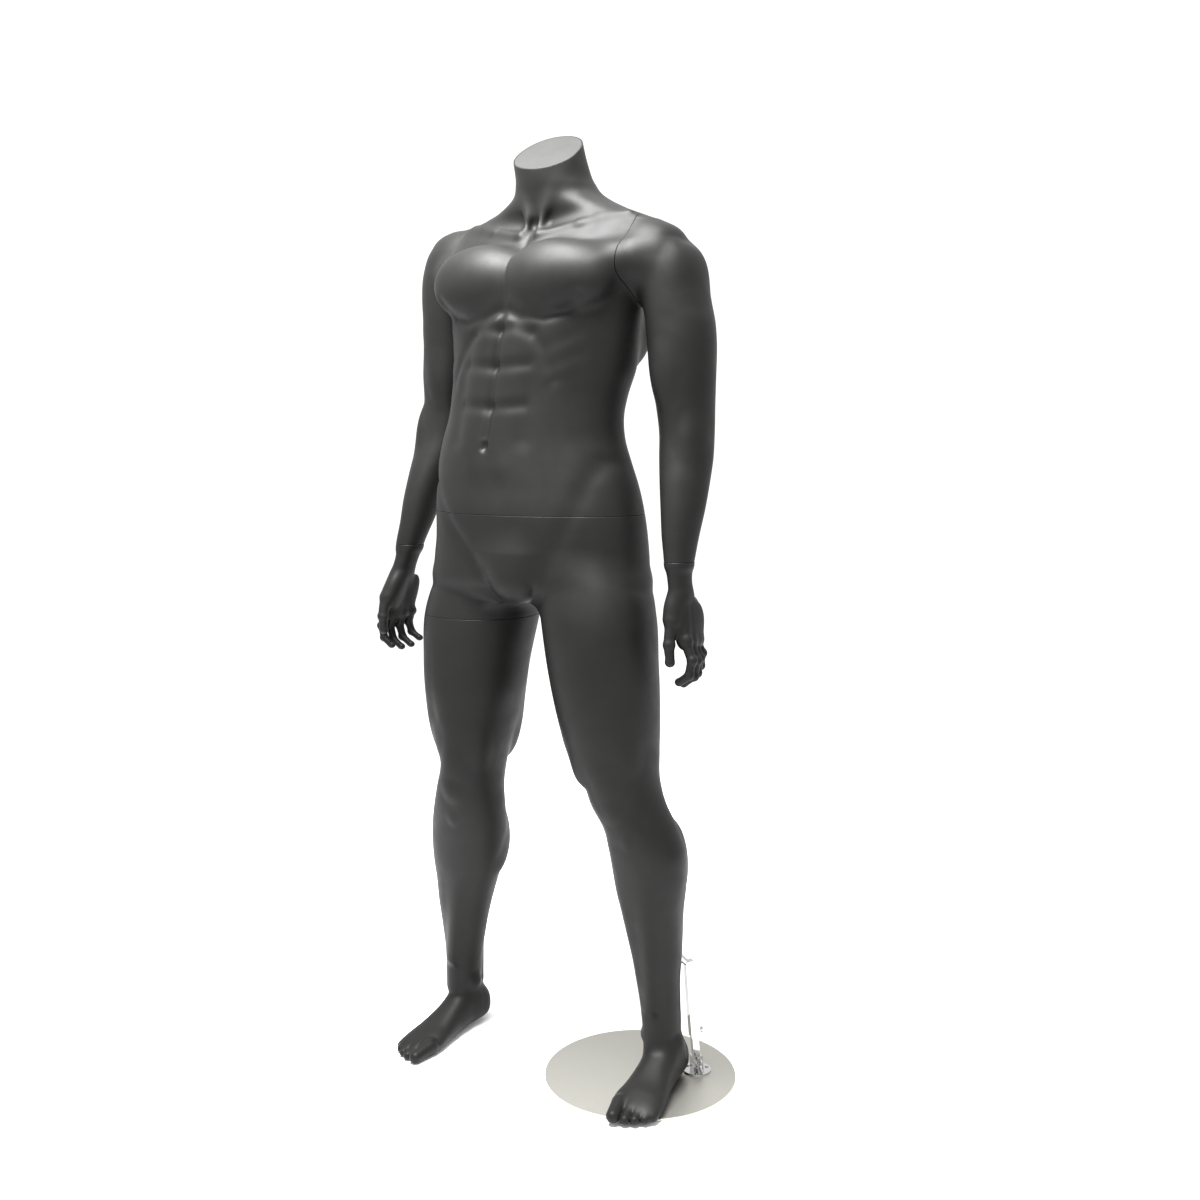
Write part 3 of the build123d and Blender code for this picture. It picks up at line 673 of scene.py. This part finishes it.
class Hand:
    """The left hand in a relaxed curl: cuff, wrist, palm, four fingers and a thumb."""

    ROWS = [
        (985, 97, -29, 25.5, 31, 29.5),
        (956, 98, -30, 24, 30, 28),
        (947, 98.5, -30.5, 23, 29.5, 27.5),
        (938, 99, -31, 19.5, 27, 26),
        (922, 100, -31, 17.5, 25.5, 25.5),
        (900, 102, -29, 17.5, 28, 28),
        (880, 102, -26, 15.5, 33, 32),
        (858, 104, -21, 14.5, 36, 36),
        (836, 108, -17, 14, 37, 35),
        (818, 112, -13, 13, 38, 35),
        (806, 113, -12, 9, 33, 31),
    ]
    # From the index to the little finger: x offset, y, sideways step at each joint, length
    FINGERS = (
        (7.0, -40.0, -1.5, 0.96),
        (3.0, -22.0, -0.5, 1.04),
        (-3.0, -4.0, 0.5, 1.0),
        (-8.0, 13.0, 2.0, 0.84),
    )
    # Knuckle, joints and tip as (x, z), then the radius at each
    FINGER_PATH = ((111, 822), (126, 790), (121, 763), (102, 749))
    FINGER_R = (9.0, 8.0, 7.4, 6.6)
    THUMB_PATH = ((102, -38, 893), (100, -56, 856), (101, -65, 818), (104, -65, 788))
    THUMB_R = (12.5, 10.8, 9.4, 7.6)

    def __init__(self):
        palm = Group(Tube(body_rows(self.ROWS, squareness=2.2)))
        palm.add(Ball((95, -44, 868), (13, 19, 32), (8, 0, 0)), 12)
        palm.add(Ball((100, 8, 862), (12, 17, 32)), 12)
        palm.add(Ball((114, -8, 850), (9, 28, 36)), 12)
        self.fingers = []
        top_x, top_z = self.FINGER_PATH[0]
        for across, y, spread, scale in self.FINGERS:
            path = []
            for step, (x, z) in enumerate(self.FINGER_PATH):
                here = across + top_x + (x - top_x) * scale
                path.append((here, y + spread * step, top_z + (z - top_z) * scale))
            radii = [r * (0.9 + 0.1 * scale) for r in self.FINGER_R]
            self.fingers.append(self.digit(path, radii))
            palm.add(Bone((108 + across * 0.4, y * 0.7 - 6, 872), path[0], 7, 9.5), 8)
            palm.add(Ball((path[0][0] + 4, path[0][1], path[0][2] + 3), (8, 8, 9)), 6)
        self.thumb = self.digit(self.THUMB_PATH, self.THUMB_R)
        self.palm = palm
        self.low = np.array([0.070, -0.090, 0.730])
        self.high = np.array([0.145, 0.045, 0.985])

    @staticmethod
    def digit(path, radii):
        """Bones along the path, with small knuckles and a rounded tip."""
        finger = Group(Bone(path[0], path[1], radii[0], radii[1]))
        for index in range(1, len(path) - 1):
            finger.add(Bone(path[index], path[index + 1], radii[index], radii[index + 1]), 2.5)
        for index in (1, 2):
            x, y, z = path[index]
            finger.add(Ball((x + 1.2, y, z), [radii[index] + 0.4] * 3), 4)
        x, y, z = path[-1]
        finger.add(Ball((x - 1.0, y, z + 0.5), (radii[-1] + 0.4, radii[-1], radii[-1] - 0.6)), 4)
        return finger

    def distance(self, points):
        total = self.palm.distance(points)
        blend = np.interp(points[:, 2], [0.800, 0.822], [0.0012, 0.008])
        for finger in self.fingers:
            total = smooth_min(total, finger.distance(points), blend)
        web = np.interp(points[:, 2], [0.815, 0.860], [0.003, 0.016])
        return smooth_min(total, self.thumb.distance(points), web)


class RightHand:
    """The left hand seen through a mirror and a shift.

    The palm leans forwards and outwards from the cuff down to the knuckles, and the fingers,
    which are a little shorter, curl back from there.
    """

    MIRROR_X = (2 * CHEST_X + RIGHT_WRIST_SHIFT[0]) * MM
    SHIFT_Y = RIGHT_WRIST_SHIFT[1] * MM
    CUFF_Z = 0.945
    KNUCKLE_Z = 0.830
    LEAN = (-0.17, -0.29)  # offset in x and y for each unit below the cuff
    LEAN_END = 0.093  # below the cuff
    CURL_BACK = 0.3  # share of the lean that the fingers lose again
    SHORTER = 0.12

    def __init__(self, shape):
        self.shape = shape
        reach = self.CUFF_Z - shape.low[2]
        self.low = np.array([
            self.MIRROR_X - shape.high[0] + self.LEAN[0] * reach,
            shape.low[1] + self.SHIFT_Y + self.LEAN[1] * reach,
            shape.low[2],
        ])
        self.high = np.array([self.MIRROR_X - shape.low[0], shape.high[1] + self.SHIFT_Y, shape.high[2]])

    def distance(self, points):
        local = points.copy()
        drop = self.CUFF_Z - points[:, 2]
        drop = 0.5 * (drop + np.sqrt(drop**2 + 0.008**2)) - 0.002
        returning = (1 + self.CURL_BACK) * self.LEAN_END - self.CURL_BACK * drop
        drop = smooth_min(drop, returning, 0.03)
        local[:, 0] = self.MIRROR_X - (local[:, 0] - self.LEAN[0] * drop)
        local[:, 1] -= self.SHIFT_Y + self.LEAN[1] * drop
        local[:, 2] -= self.SHORTER * np.clip(self.KNUCKLE_Z - points[:, 2], 0, None)
        return self.shape.distance(local)


# ---- from field to mesh

COARSE = 4  # grid steps in a coarse block
CHUNK = 250_000  # points worked out at once
CORNERS = [(i, j, k) for i in (0, 1) for j in (0, 1) for k in (0, 1)]


def evaluate(field, points):
    return np.concatenate([field(points[i : i + CHUNK]) for i in range(0, len(points), CHUNK)])


def grid_line(breaks):
    """Grid places from (place, step) pairs, each step holding up to the next place."""
    places = [breaks[0][0]]
    for (_, step), (stop, _) in zip(breaks[:-1], breaks[1:]):
        count = max(1, round((stop - places[-1]) / step))
        places.extend(np.linspace(places[-1], stop, count + 1)[1:])
    while (len(places) - 1) % COARSE:
        places.append(2 * places[-1] - places[-2])
    return np.array(places)


def even_line(low, high, step):
    return grid_line([(low, step), (high, step)])


def sample(field, axes):
    """The field on the grid, worked out in full only near the surface."""
    coarse_axes = [axis[::COARSE] for axis in axes]
    places = np.stack(np.meshgrid(*coarse_axes, indexing="ij"), axis=-1)
    coarse = evaluate(field, places.reshape(-1, 3)).reshape(places.shape[:3])
    cells = tuple(n - 1 for n in coarse.shape)
    corners = [coarse[i : i + cells[0], j : j + cells[1], k : k + cells[2]] for i, j, k in CORNERS]
    reach = 1.7 * math.sqrt(sum(np.diff(axis).max() ** 2 for axis in coarse_axes))
    crossed = (np.min(corners, axis=0) < 0) & (np.max(corners, axis=0) > 0)
    full = crossed | (np.min(np.abs(corners), axis=0) < reach)
    for axis in range(3):
        full = np.repeat(full, COARSE, axis=axis)
    wanted = np.zeros(tuple(n + 1 for n in full.shape), bool)
    for i, j, k in CORNERS:
        wanted[i : i + full.shape[0], j : j + full.shape[1], k : k + full.shape[2]] |= full
    pick = []
    for axis, line in zip(axes, coarse_axes):
        pick.append(np.minimum(np.arange(len(axis)) // COARSE, len(line) - 1))
    values = coarse[np.ix_(*pick)]
    spots = np.argwhere(wanted)
    points = np.stack([axes[n][spots[:, n]] for n in range(3)], axis=1)
    values[wanted] = evaluate(field, points)
    return values


def surface_net(values, axes):
    """One vertex in each cell that the surface crosses, and a quad round each crossed edge."""
    inside = values < 0
    cells = tuple(n - 1 for n in values.shape)
    count = np.zeros(cells, int)
    for i, j, k in CORNERS:
        count += inside[i : i + cells[0], j : j + cells[1], k : k + cells[2]]
    crossed = (count > 0) & (count < 8)
    spots = np.argwhere(crossed)
    number = np.full(cells, -1)
    number[crossed] = np.arange(len(spots))
    total, hits = np.zeros((len(spots), 3)), np.zeros(len(spots))
    for axis in range(3):
        for side in CORNERS:
            if side[axis]:
                continue
            near = spots + side
            far = near.copy()
            far[:, axis] += 1
            a, b = values[tuple(near.T)], values[tuple(far.T)]
            cut = (a < 0) != (b < 0)
            share = a[cut] / (a[cut] - b[cut])
            start = np.stack([axes[n][near[cut, n]] for n in range(3)], axis=1)
            end = np.stack([axes[n][far[cut, n]] for n in range(3)], axis=1)
            total[cut] += start + share[:, None] * (end - start)
            hits[cut] += 1
    vertices = total / hits[:, None]
    faces = []
    for axis in range(3):
        b, c = (axis + 1) % 3, (axis + 2) % 3
        low = [slice(None)] * 3
        high = [slice(None)] * 3
        low[axis], high[axis] = slice(0, -1), slice(1, None)
        a_in, b_in = inside[tuple(low)], inside[tuple(high)]
        edges = np.argwhere(a_in != b_in)
        edges = edges[(edges[:, b] > 0) & (edges[:, c] > 0)]
        edges = edges[(edges[:, b] < cells[b]) & (edges[:, c] < cells[c])]
        ring = []
        for db, dc in ((-1, -1), (0, -1), (0, 0), (-1, 0)):
            cell = edges.copy()
            cell[:, b] += db
            cell[:, c] += dc
            ring.append(number[tuple(cell.T)])
        quads = np.stack(ring, axis=1)
        outward = a_in[tuple(edges.T)]
        quads[~outward] = quads[~outward][:, ::-1]
        faces.append(quads)
    return vertices, np.concatenate(faces)


def pull_to_surface(field, vertices, limit):
    """Move each vertex along the field's slope until it is on the surface."""
    step = 0.0004
    for _ in range(2):
        here = evaluate(field, vertices)
        slope = np.zeros_like(vertices)
        for axis in range(3):
            moved = vertices.copy()
            moved[:, axis] += step
            slope[:, axis] = (evaluate(field, moved) - here) / step
        move = here[:, None] * slope / np.maximum((slope**2).sum(1), 0.05)[:, None]
        size = np.linalg.norm(move, axis=1)
        vertices = vertices - move * np.minimum(1, limit / np.maximum(size, 1e-9))[:, None]
    return vertices


def relaxed(vertices, faces, rounds):
    """Even out the quads a little before they are pulled back to the surface."""
    a = faces.reshape(-1)
    b = np.roll(faces, 1, axis=1).reshape(-1)
    for _ in range(rounds):
        total, hits = np.zeros_like(vertices), np.zeros(len(vertices))
        for near, far in ((a, b), (b, a)):
            for axis in range(3):
                total[:, axis] += np.bincount(near, vertices[far, axis], len(vertices))
            hits += np.bincount(near, minlength=len(vertices))
        vertices = 0.5 * vertices + 0.5 * total / np.maximum(hits, 1)[:, None]
    return vertices


# ---- parting faces


class Seam:
    """A flat parting face at a point, with the direction that leads out of its piece.

    gap is half the joint line, edge the chamfer, rim the wall's width, pocket the depth of the
    closing board and well the radius and depth of the fitting's hole, all in millimetres.
    """

    def __init__(self, point, outward, gap=0.2, edge=0.7, rim=4.0, pocket=3.0, well=None, where=None):
        self.point = np.array(point, float) * MM
        self.outward = np.array(outward, float) / np.linalg.norm(outward)
        self.gap, self.edge, self.rim, self.pocket = gap * MM, edge * MM, rim * MM, pocket * MM
        self.well, self.where = well, where


BOARD_GAP = 0.02 * MM
SHARP_EDGE = math.radians(38)


def bridge(bm, near, far):
    """Quads between two rings of vertices."""
    for i in range(len(near)):
        j = (i + 1) % len(near)
        bm.faces.new((near[i], near[j], far[j], far[i]))


def fan(bm, ring, centre):
    """Triangles from a ring of vertices to its centre."""
    hub = bm.verts.new(centre)
    for i in range(len(ring)):
        bm.faces.new((ring[i], ring[(i + 1) % len(ring)], hub))


def cut_piece(bm, seam):
    """Trim the mesh at the seam and return the rim's loops of vertices."""
    level = seam.point - seam.outward * (seam.gap + seam.edge)
    faces = [f for f in bm.faces if seam.where is None or seam.where(f.calc_center_median())]
    edges = {e for f in faces for e in f.edges}
    verts = {v for f in faces for v in f.verts}
    result = bmesh.ops.bisect_plane(
        bm, geom=list(verts) + list(edges) + faces, dist=1e-7, plane_co=Vector(level),
        plane_no=Vector(seam.outward),
    )
    line = {e for e in result["geom_cut"] if isinstance(e, bmesh.types.BMEdge)}
    gone = []
    for face in bm.faces:
        centre = face.calc_center_median()
        if (centre - Vector(level)).dot(Vector(seam.outward)) > 0:
            if seam.where is None or seam.where(centre):
                gone.append(face)
    bmesh.ops.delete(bm, geom=gone, context="FACES")
    return [e for e in line if e.is_valid and len(e.link_faces) == 1]


def keep_largest(bm):
    """Delete all but the largest connected piece of mesh."""
    seen, best = set(), []
    for start in bm.verts:
        if start in seen:
            continue
        island, stack = [], [start]
        seen.add(start)
        while stack:
            vert = stack.pop()
            island.append(vert)
            for e in vert.link_edges:
                other = e.other_vert(vert)
                if other not in seen:
                    seen.add(other)
                    stack.append(other)
        if len(island) > len(best):
            best = island
    keep = set(best)
    bmesh.ops.delete(bm, geom=[v for v in bm.verts if v not in keep], context="VERTS")


def loop_of(edges):
    """The longest closed chain of vertices in these edges."""
    links = {}
    for e in edges:
        for vert in e.verts:
            links.setdefault(vert, []).append(e)
    best, used = [], set()
    for start in links:
        if start in used:
            continue
        chain, vert, last = [], start, None
        while vert not in used:
            used.add(vert)
            chain.append(vert)
            following = [e for e in links[vert] if e is not last]
            if not following:
                break
            last = following[0]
            vert = last.other_vert(vert)
        if len(chain) > len(best):
            best = chain
    return best


def close_seam(bm, loop, seam):
    """Build the chamfer, the rim, the pocket down to the closing board and the fitting's well."""
    normal = Vector(seam.outward)
    centre = Vector(seam.point)

    def ring(previous, inward, depth, circle=None):
        made = []
        for vert in previous:
            offset = vert.co - centre
            flat = offset - normal * offset.dot(normal)
            length = circle if circle is not None else max(flat.length - inward, 0.0005)
            made.append(bm.verts.new(centre + flat.normalized() * length - normal * depth))
        bridge(bm, previous, made)
        return made

    floor_depth = seam.pocket + BOARD_GAP
    outer = ring(loop, seam.edge, seam.gap)
    outer = ring(outer, seam.rim, seam.gap)
    outer = ring(outer, 0.0, floor_depth)
    if seam.well:
        radius, depth = seam.well
        outer = ring(outer, 0.0, floor_depth, circle=radius * MM)
        outer = ring(outer, 0.0, depth * MM)
    fan(bm, outer, sum((v.co for v in outer), Vector()) / len(outer))


def build_piece(name, field, axes, seams):
    """The field's surface as one closed mesh, parted at the seams."""
    vertices, faces = surface_net(sample(field, axes), axes)
    vertices = relaxed(vertices, faces, rounds=2)
    vertices = pull_to_surface(field, vertices, limit=0.004)
    mesh = bpy.data.meshes.new(name)
    mesh.from_pydata(vertices.tolist(), [], faces.tolist())
    bm = bmesh.new()
    bm.from_mesh(mesh)
    rims = [(seam, cut_piece(bm, seam)) for seam in seams]
    keep_largest(bm)
    for seam, edges in rims:
        close_seam(bm, loop_of([e for e in edges if e.is_valid]), seam)
    bmesh.ops.recalc_face_normals(bm, faces=list(bm.faces))
    bm.normal_update()
    for e in bm.edges:
        e.smooth = len(e.link_faces) != 2 or e.calc_face_angle(0.0) <= SHARP_EDGE
    for face in bm.faces:
        face.smooth = True
    bm.to_mesh(mesh)
    bm.free()
    piece = bpy.data.objects.new(name, mesh)
    bpy.context.scene.collection.objects.link(piece)
    return piece


def slanted(side):
    """The direction out of the torso at a shoulder."""
    return (side * math.cos(SHOULDER_TILT), 0.0, math.sin(SHOULDER_TILT))


UP, DOWN = (0, 0, 1), (0, 0, -1)
SHOULDERS = {1: (3.0, 4.0, 1462.0), -1: (-389.0, 4.0, 1462.0)}
WRISTS = {1: (98.0, -30.0, WRIST_Z), -1: (-506.0, -60.0, WRIST_Z)}
WAIST = (-192.0, -50.0, WAIST_Z)
THIGH = (-324.0, -62.0, THIGH_Z)
NECK = (-196.0, -14.0, 1660.5)
NECK_UP = (
    math.sin(NECK_SLOPE) * math.sin(NECK_TURN),
    -math.sin(NECK_SLOPE) * math.cos(NECK_TURN),
    math.cos(NECK_SLOPE),
)
# The well of each fitting: radius and depth
WAIST_WELL, THIGH_WELL, SHOULDER_WELL, WRIST_WELL = (48, 64), (35, 59), (22, 50), (11, 37)
SOLE_LOW = 0.0058  # the grid starts this far below the floor
FOOT_STEP = 0.0026


def build_body(figure, fine):
    field = figure.distance
    made = {}
    axes = [even_line(-0.425, 0.041, fine), even_line(-0.19, 0.125, fine), even_line(1.018, 1.70, fine)]
    made["torso"] = build_piece("torso_skin", field, axes, [
        Seam(SHOULDERS[1], slanted(1), well=SHOULDER_WELL),
        Seam(SHOULDERS[-1], slanted(-1), well=SHOULDER_WELL),
        Seam(WAIST, DOWN),
        Seam(NECK, NECK_UP, gap=0.0, edge=0.5, rim=1.2, pocket=1.2),
    ])
    finer = fine * 0.72
    for name, side, x_span in (("left", 1, (-0.012, 0.150)), ("right", -1, (-0.566, -0.374))):
        axes = [
            even_line(*x_span, finer),
            even_line(-0.125, 0.095, finer),
            even_line(0.944, 1.56, finer * 1.15),
        ]
        made[f"{name}_arm"] = build_piece(f"{name}_arm_skin", field, axes, [
            Seam(SHOULDERS[side], [-v for v in slanted(side)]),
            Seam(WRISTS[side], DOWN, well=WRIST_WELL),
        ])
    axes = [
        grid_line([(-0.445, fine), (-0.02, finer), (0.16, fine)]),
        grid_line([(-0.205, FOOT_STEP), (-0.13, fine), (0.145, fine)]),
        grid_line([(0.0, 0.0019), (0.11, 0.0032), (1.045, fine)]) - SOLE_LOW,
    ]
    made["lower_body"] = build_piece("pelvis_left_leg_skin", figure.without_right_leg, axes, [
        Seam(WAIST, UP, well=WAIST_WELL),
        Seam(THIGH, DOWN, well=THIGH_WELL, where=lambda p: p.x < BETWEEN_LEGS_X * MM and p.z < 0.87),
    ])
    axes = [
        grid_line([(-0.475, FOOT_STEP), (-0.17, fine)]),
        grid_line([(-0.245, FOOT_STEP), (-0.13, 0.003), (0.085, fine)]),
        grid_line([(0.0, 0.0019), (0.13, 0.0032), (0.853, fine)]) - SOLE_LOW,
    ]
    made["right_leg"] = build_piece("right_leg_skin", field, axes, [Seam(THIGH, UP)])
    return made


HAND_MARGIN = 0.008


def build_hands(fine):
    left = Hand()
    right = RightHand(left)
    made = {}
    for name, side, shape in (("left", 1, left), ("right", -1, right)):
        high = shape.high - (0, 0, HAND_MARGIN)
        axes = [even_line(low - HAND_MARGIN, top, fine) for low, top in zip(shape.low, high)]
        made[f"{name}_hand"] = build_piece(f"{name}_hand_skin", shape.distance, axes, [
            Seam(WRISTS[side], UP),
        ])
    return made


CAP_POINTS = 120
# How far each ring of the disc is in from the neck's skin, and above the cut
CAP_RINGS = ((0.0021, -0.0010), (0.0021, -0.0003), (0.0025, 0.0), (0.02, 0.0), (0.04, 0.0))


def build_neck_cap(figure):
    """The closing disc in the neck's cut, set a hair inside the rim."""
    normal = np.array(NECK_UP)
    centre = np.array(NECK) * MM
    side = np.cross((0.0, 1.0, 0.0), normal)
    side /= np.linalg.norm(side)
    front = np.cross(normal, side)
    turns = np.linspace(0, math.tau, CAP_POINTS, endpoint=False)
    ways = np.cos(turns)[:, None] * side + np.sin(turns)[:, None] * front
    low, high = np.full(CAP_POINTS, 0.03), np.full(CAP_POINTS, 0.11)
    for _ in range(24):
        middle = (low + high) / 2
        inside = figure.distance(centre + ways * middle[:, None]) < 0
        low, high = np.where(inside, middle, low), np.where(inside, high, middle)
    bm = bmesh.new()
    previous = None
    for inward, lift in CAP_RINGS:
        places = centre + ways * (low - inward)[:, None] + normal * lift
        loop = [bm.verts.new(place) for place in places]
        if previous:
            bridge(bm, previous, loop)
        previous = loop
    fan(bm, previous, centre)
    bmesh.ops.recalc_face_normals(bm, faces=list(bm.faces))
    mesh = bpy.data.meshes.new("neck_disc")
    bm.to_mesh(mesh)
    bm.free()
    piece = bpy.data.objects.new("neck_disc", mesh)
    bpy.context.scene.collection.objects.link(piece)
    return piece


# ---- finishes


NOISE_SPAN = (0.3, 0.7)  # the part of the noise's range that is used


def new_material(name):
    material = bpy.data.materials.new(name)
    material.use_nodes = True
    tree = material.node_tree
    return material, tree.nodes, tree.links, tree.nodes["Principled BSDF"]


def add_node(nodes, kind, **values):
    """A node with these input values; an underscore in an input's name stands for a space."""
    made = nodes.new("ShaderNode" + kind)
    for name, value in values.items():
        made.inputs[name.replace("_", " ")].default_value = value
    return made


def noise(nodes, links, scale, detail, stretch=(1, 1, 1)):
    """A noise texture in the object's own coordinates."""
    place = add_node(nodes, "TexCoord")
    mapping = add_node(nodes, "Mapping", Scale=stretch)
    texture = add_node(nodes, "TexNoise", Scale=scale, Detail=detail)
    links.new(place.outputs["Object"], mapping.inputs["Vector"])
    links.new(mapping.outputs["Vector"], texture.inputs["Vector"])
    return texture.outputs["Fac"]


def colour_between(nodes, links, fac, dark, light):
    ramp = add_node(nodes, "ValToRGB")
    for stop, place, colour in zip(ramp.color_ramp.elements, NOISE_SPAN, (dark, light)):
        stop.position = place
        stop.color = (*colour, 1.0)
    links.new(fac, ramp.inputs["Fac"])
    return ramp.outputs["Color"]


def value_between(nodes, links, fac, low, high):
    start, end = NOISE_SPAN
    span = add_node(nodes, "MapRange", From_Min=start, From_Max=end, To_Min=low, To_Max=high)
    links.new(fac, span.inputs["Value"])
    return span.outputs["Result"]


def paint_material(name, dark, light, roughness):
    """Sprayed matte paint: faint clouding, a fine tooth and slightly uneven sheen."""
    material, nodes, links, shader = new_material(name)
    cloud = noise(nodes, links, 9.0, 4.0)
    links.new(colour_between(nodes, links, cloud, dark, light), shader.inputs["Base Color"])
    sheen = noise(nodes, links, 35.0, 3.0)
    rough = value_between(nodes, links, sheen, roughness - 0.04, roughness + 0.04)
    links.new(rough, shader.inputs["Roughness"])
    shader.inputs["Specular IOR Level"].default_value = 0.12
    bump = add_node(nodes, "Bump", Strength=0.10, Distance=0.0002)
    links.new(noise(nodes, links, 1500.0, 2.0), bump.inputs["Height"])
    links.new(bump.outputs["Normal"], shader.inputs["Normal"])
    return material


def metal_material(name, dark, light, roughness, scale, stretch=(1, 1, 1)):
    """Bare or plated metal with a faint grain in its colour and its polish."""
    material, nodes, links, shader = new_material(name)
    grain = noise(nodes, links, scale, 4.0, stretch)
    links.new(colour_between(nodes, links, grain, dark, light), shader.inputs["Base Color"])
    rough = value_between(nodes, links, grain, roughness - 0.03, roughness + 0.04)
    links.new(rough, shader.inputs["Roughness"])
    shader.inputs["Metallic"].default_value = 1.0
    return material


# Name: darker colour, lighter colour, roughness
PAINTS = {
    "body_paint": ((0.0062, 0.0062, 0.0060), (0.0086, 0.0086, 0.0083), 0.48),
    # The neck disc is the body's own paint made about three times lighter: painted light for the overhead
    # light that its upturned face catches
    "neck_painted_light": ((0.018, 0.018, 0.0176), (0.022, 0.022, 0.0213), 0.46),
    "closing_board": ((0.075, 0.072, 0.068), (0.10, 0.096, 0.09), 0.7),
}
# Name: darker colour, lighter colour, roughness, grain's scale and stretch
METALS = {
    "base_steel": ((0.40, 0.392, 0.357), (0.425, 0.417, 0.38), 0.46, 160.0, (1, 10, 1)),
    "stand_chrome": ((0.46, 0.46, 0.46), (0.52, 0.52, 0.52), 0.10, 60.0),
    "fitting_steel": ((0.42, 0.42, 0.43), (0.52, 0.52, 0.53), 0.34, 120.0),
    "screw_steel": ((0.50, 0.48, 0.42), (0.62, 0.60, 0.53), 0.30, 300.0),
    "spring_steel": ((0.28, 0.28, 0.30), (0.36, 0.36, 0.38), 0.28, 200.0),
    "pad_brass": ((0.60, 0.44, 0.18), (0.72, 0.55, 0.25), 0.30, 300.0),
}


def make_materials():
    made = {name: paint_material(name, *values) for name, values in PAINTS.items()}
    made.update((name, metal_material(name, *values)) for name, values in METALS.items())
    return made


def set_material(piece, material):
    piece.data.materials.clear()
    piece.data.materials.append(material)


# ---- assembly

REPLACED = {
    "torso": ["torso_shell", "torso_waist_plate", "torso_left_shoulder_plate", "torso_right_shoulder_plate"],
    "left_arm": ["left_arm_shell", "left_arm_shoulder_plate", "left_arm_wrist_plug"],
    "right_arm": ["right_arm_shell", "right_arm_shoulder_plate", "right_arm_wrist_plug"],
    "left_hand": ["left_hand"],
    "right_hand": ["right_hand"],
    "lower_body": ["pelvis_left_leg_shell", "pelvis_waist_plate", "pelvis_thigh_plate"],
    "right_leg": ["right_leg_shell", "right_leg_plate"],
}

BODY_STEP, HAND_STEP = 0.0034, 0.0013
FLOOR_SIZE = 14.0
FLOOR_LEVEL = -0.0005  # just under the soles and the base plate

materials = make_materials()
quick_scale = 1.0
figure = Figure()
made = build_body(figure, BODY_STEP * quick_scale)
made.update(build_hands(HAND_STEP * quick_scale))
for body, piece in made.items():
    set_material(piece, materials["body_paint"])
    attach(piece, body)
    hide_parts(*REPLACED[body])
neck = build_neck_cap(figure)
# The disc takes the lighter copy of the body paint, which paints in the light falling on it from above
set_material(neck, materials["neck_painted_light"])
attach(neck, "torso")
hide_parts("neck_cap")

slots = {part["node"]: part["material_slot"] for part in frame["record"]["subparts"]}
for node, cad in frame["nodes"].items():
    set_material(cad, materials[slots[node]])

bpy.ops.mesh.primitive_plane_add(size=FLOOR_SIZE, location=(0.0, 0.0, FLOOR_LEVEL))
floor = bpy.context.active_object
floor.name = "studio_floor"
set_material(floor, paint_material("floor_paper", (0.90, 0.90, 0.90), (0.94, 0.94, 0.94), 0.9))

add_world(1.15)
add_camera()
add_area_light("ceiling", (-0.15, -0.55, 2.75), (-0.18, -0.12, 1.0), (1.5, 1.1), 230.0)
add_area_light("key", (-0.28, -0.62, 2.20), (-0.19, -0.08, 1.48), (0.7, 0.5), 48.0)
bpy.context.scene.view_settings.view_transform = "Standard"
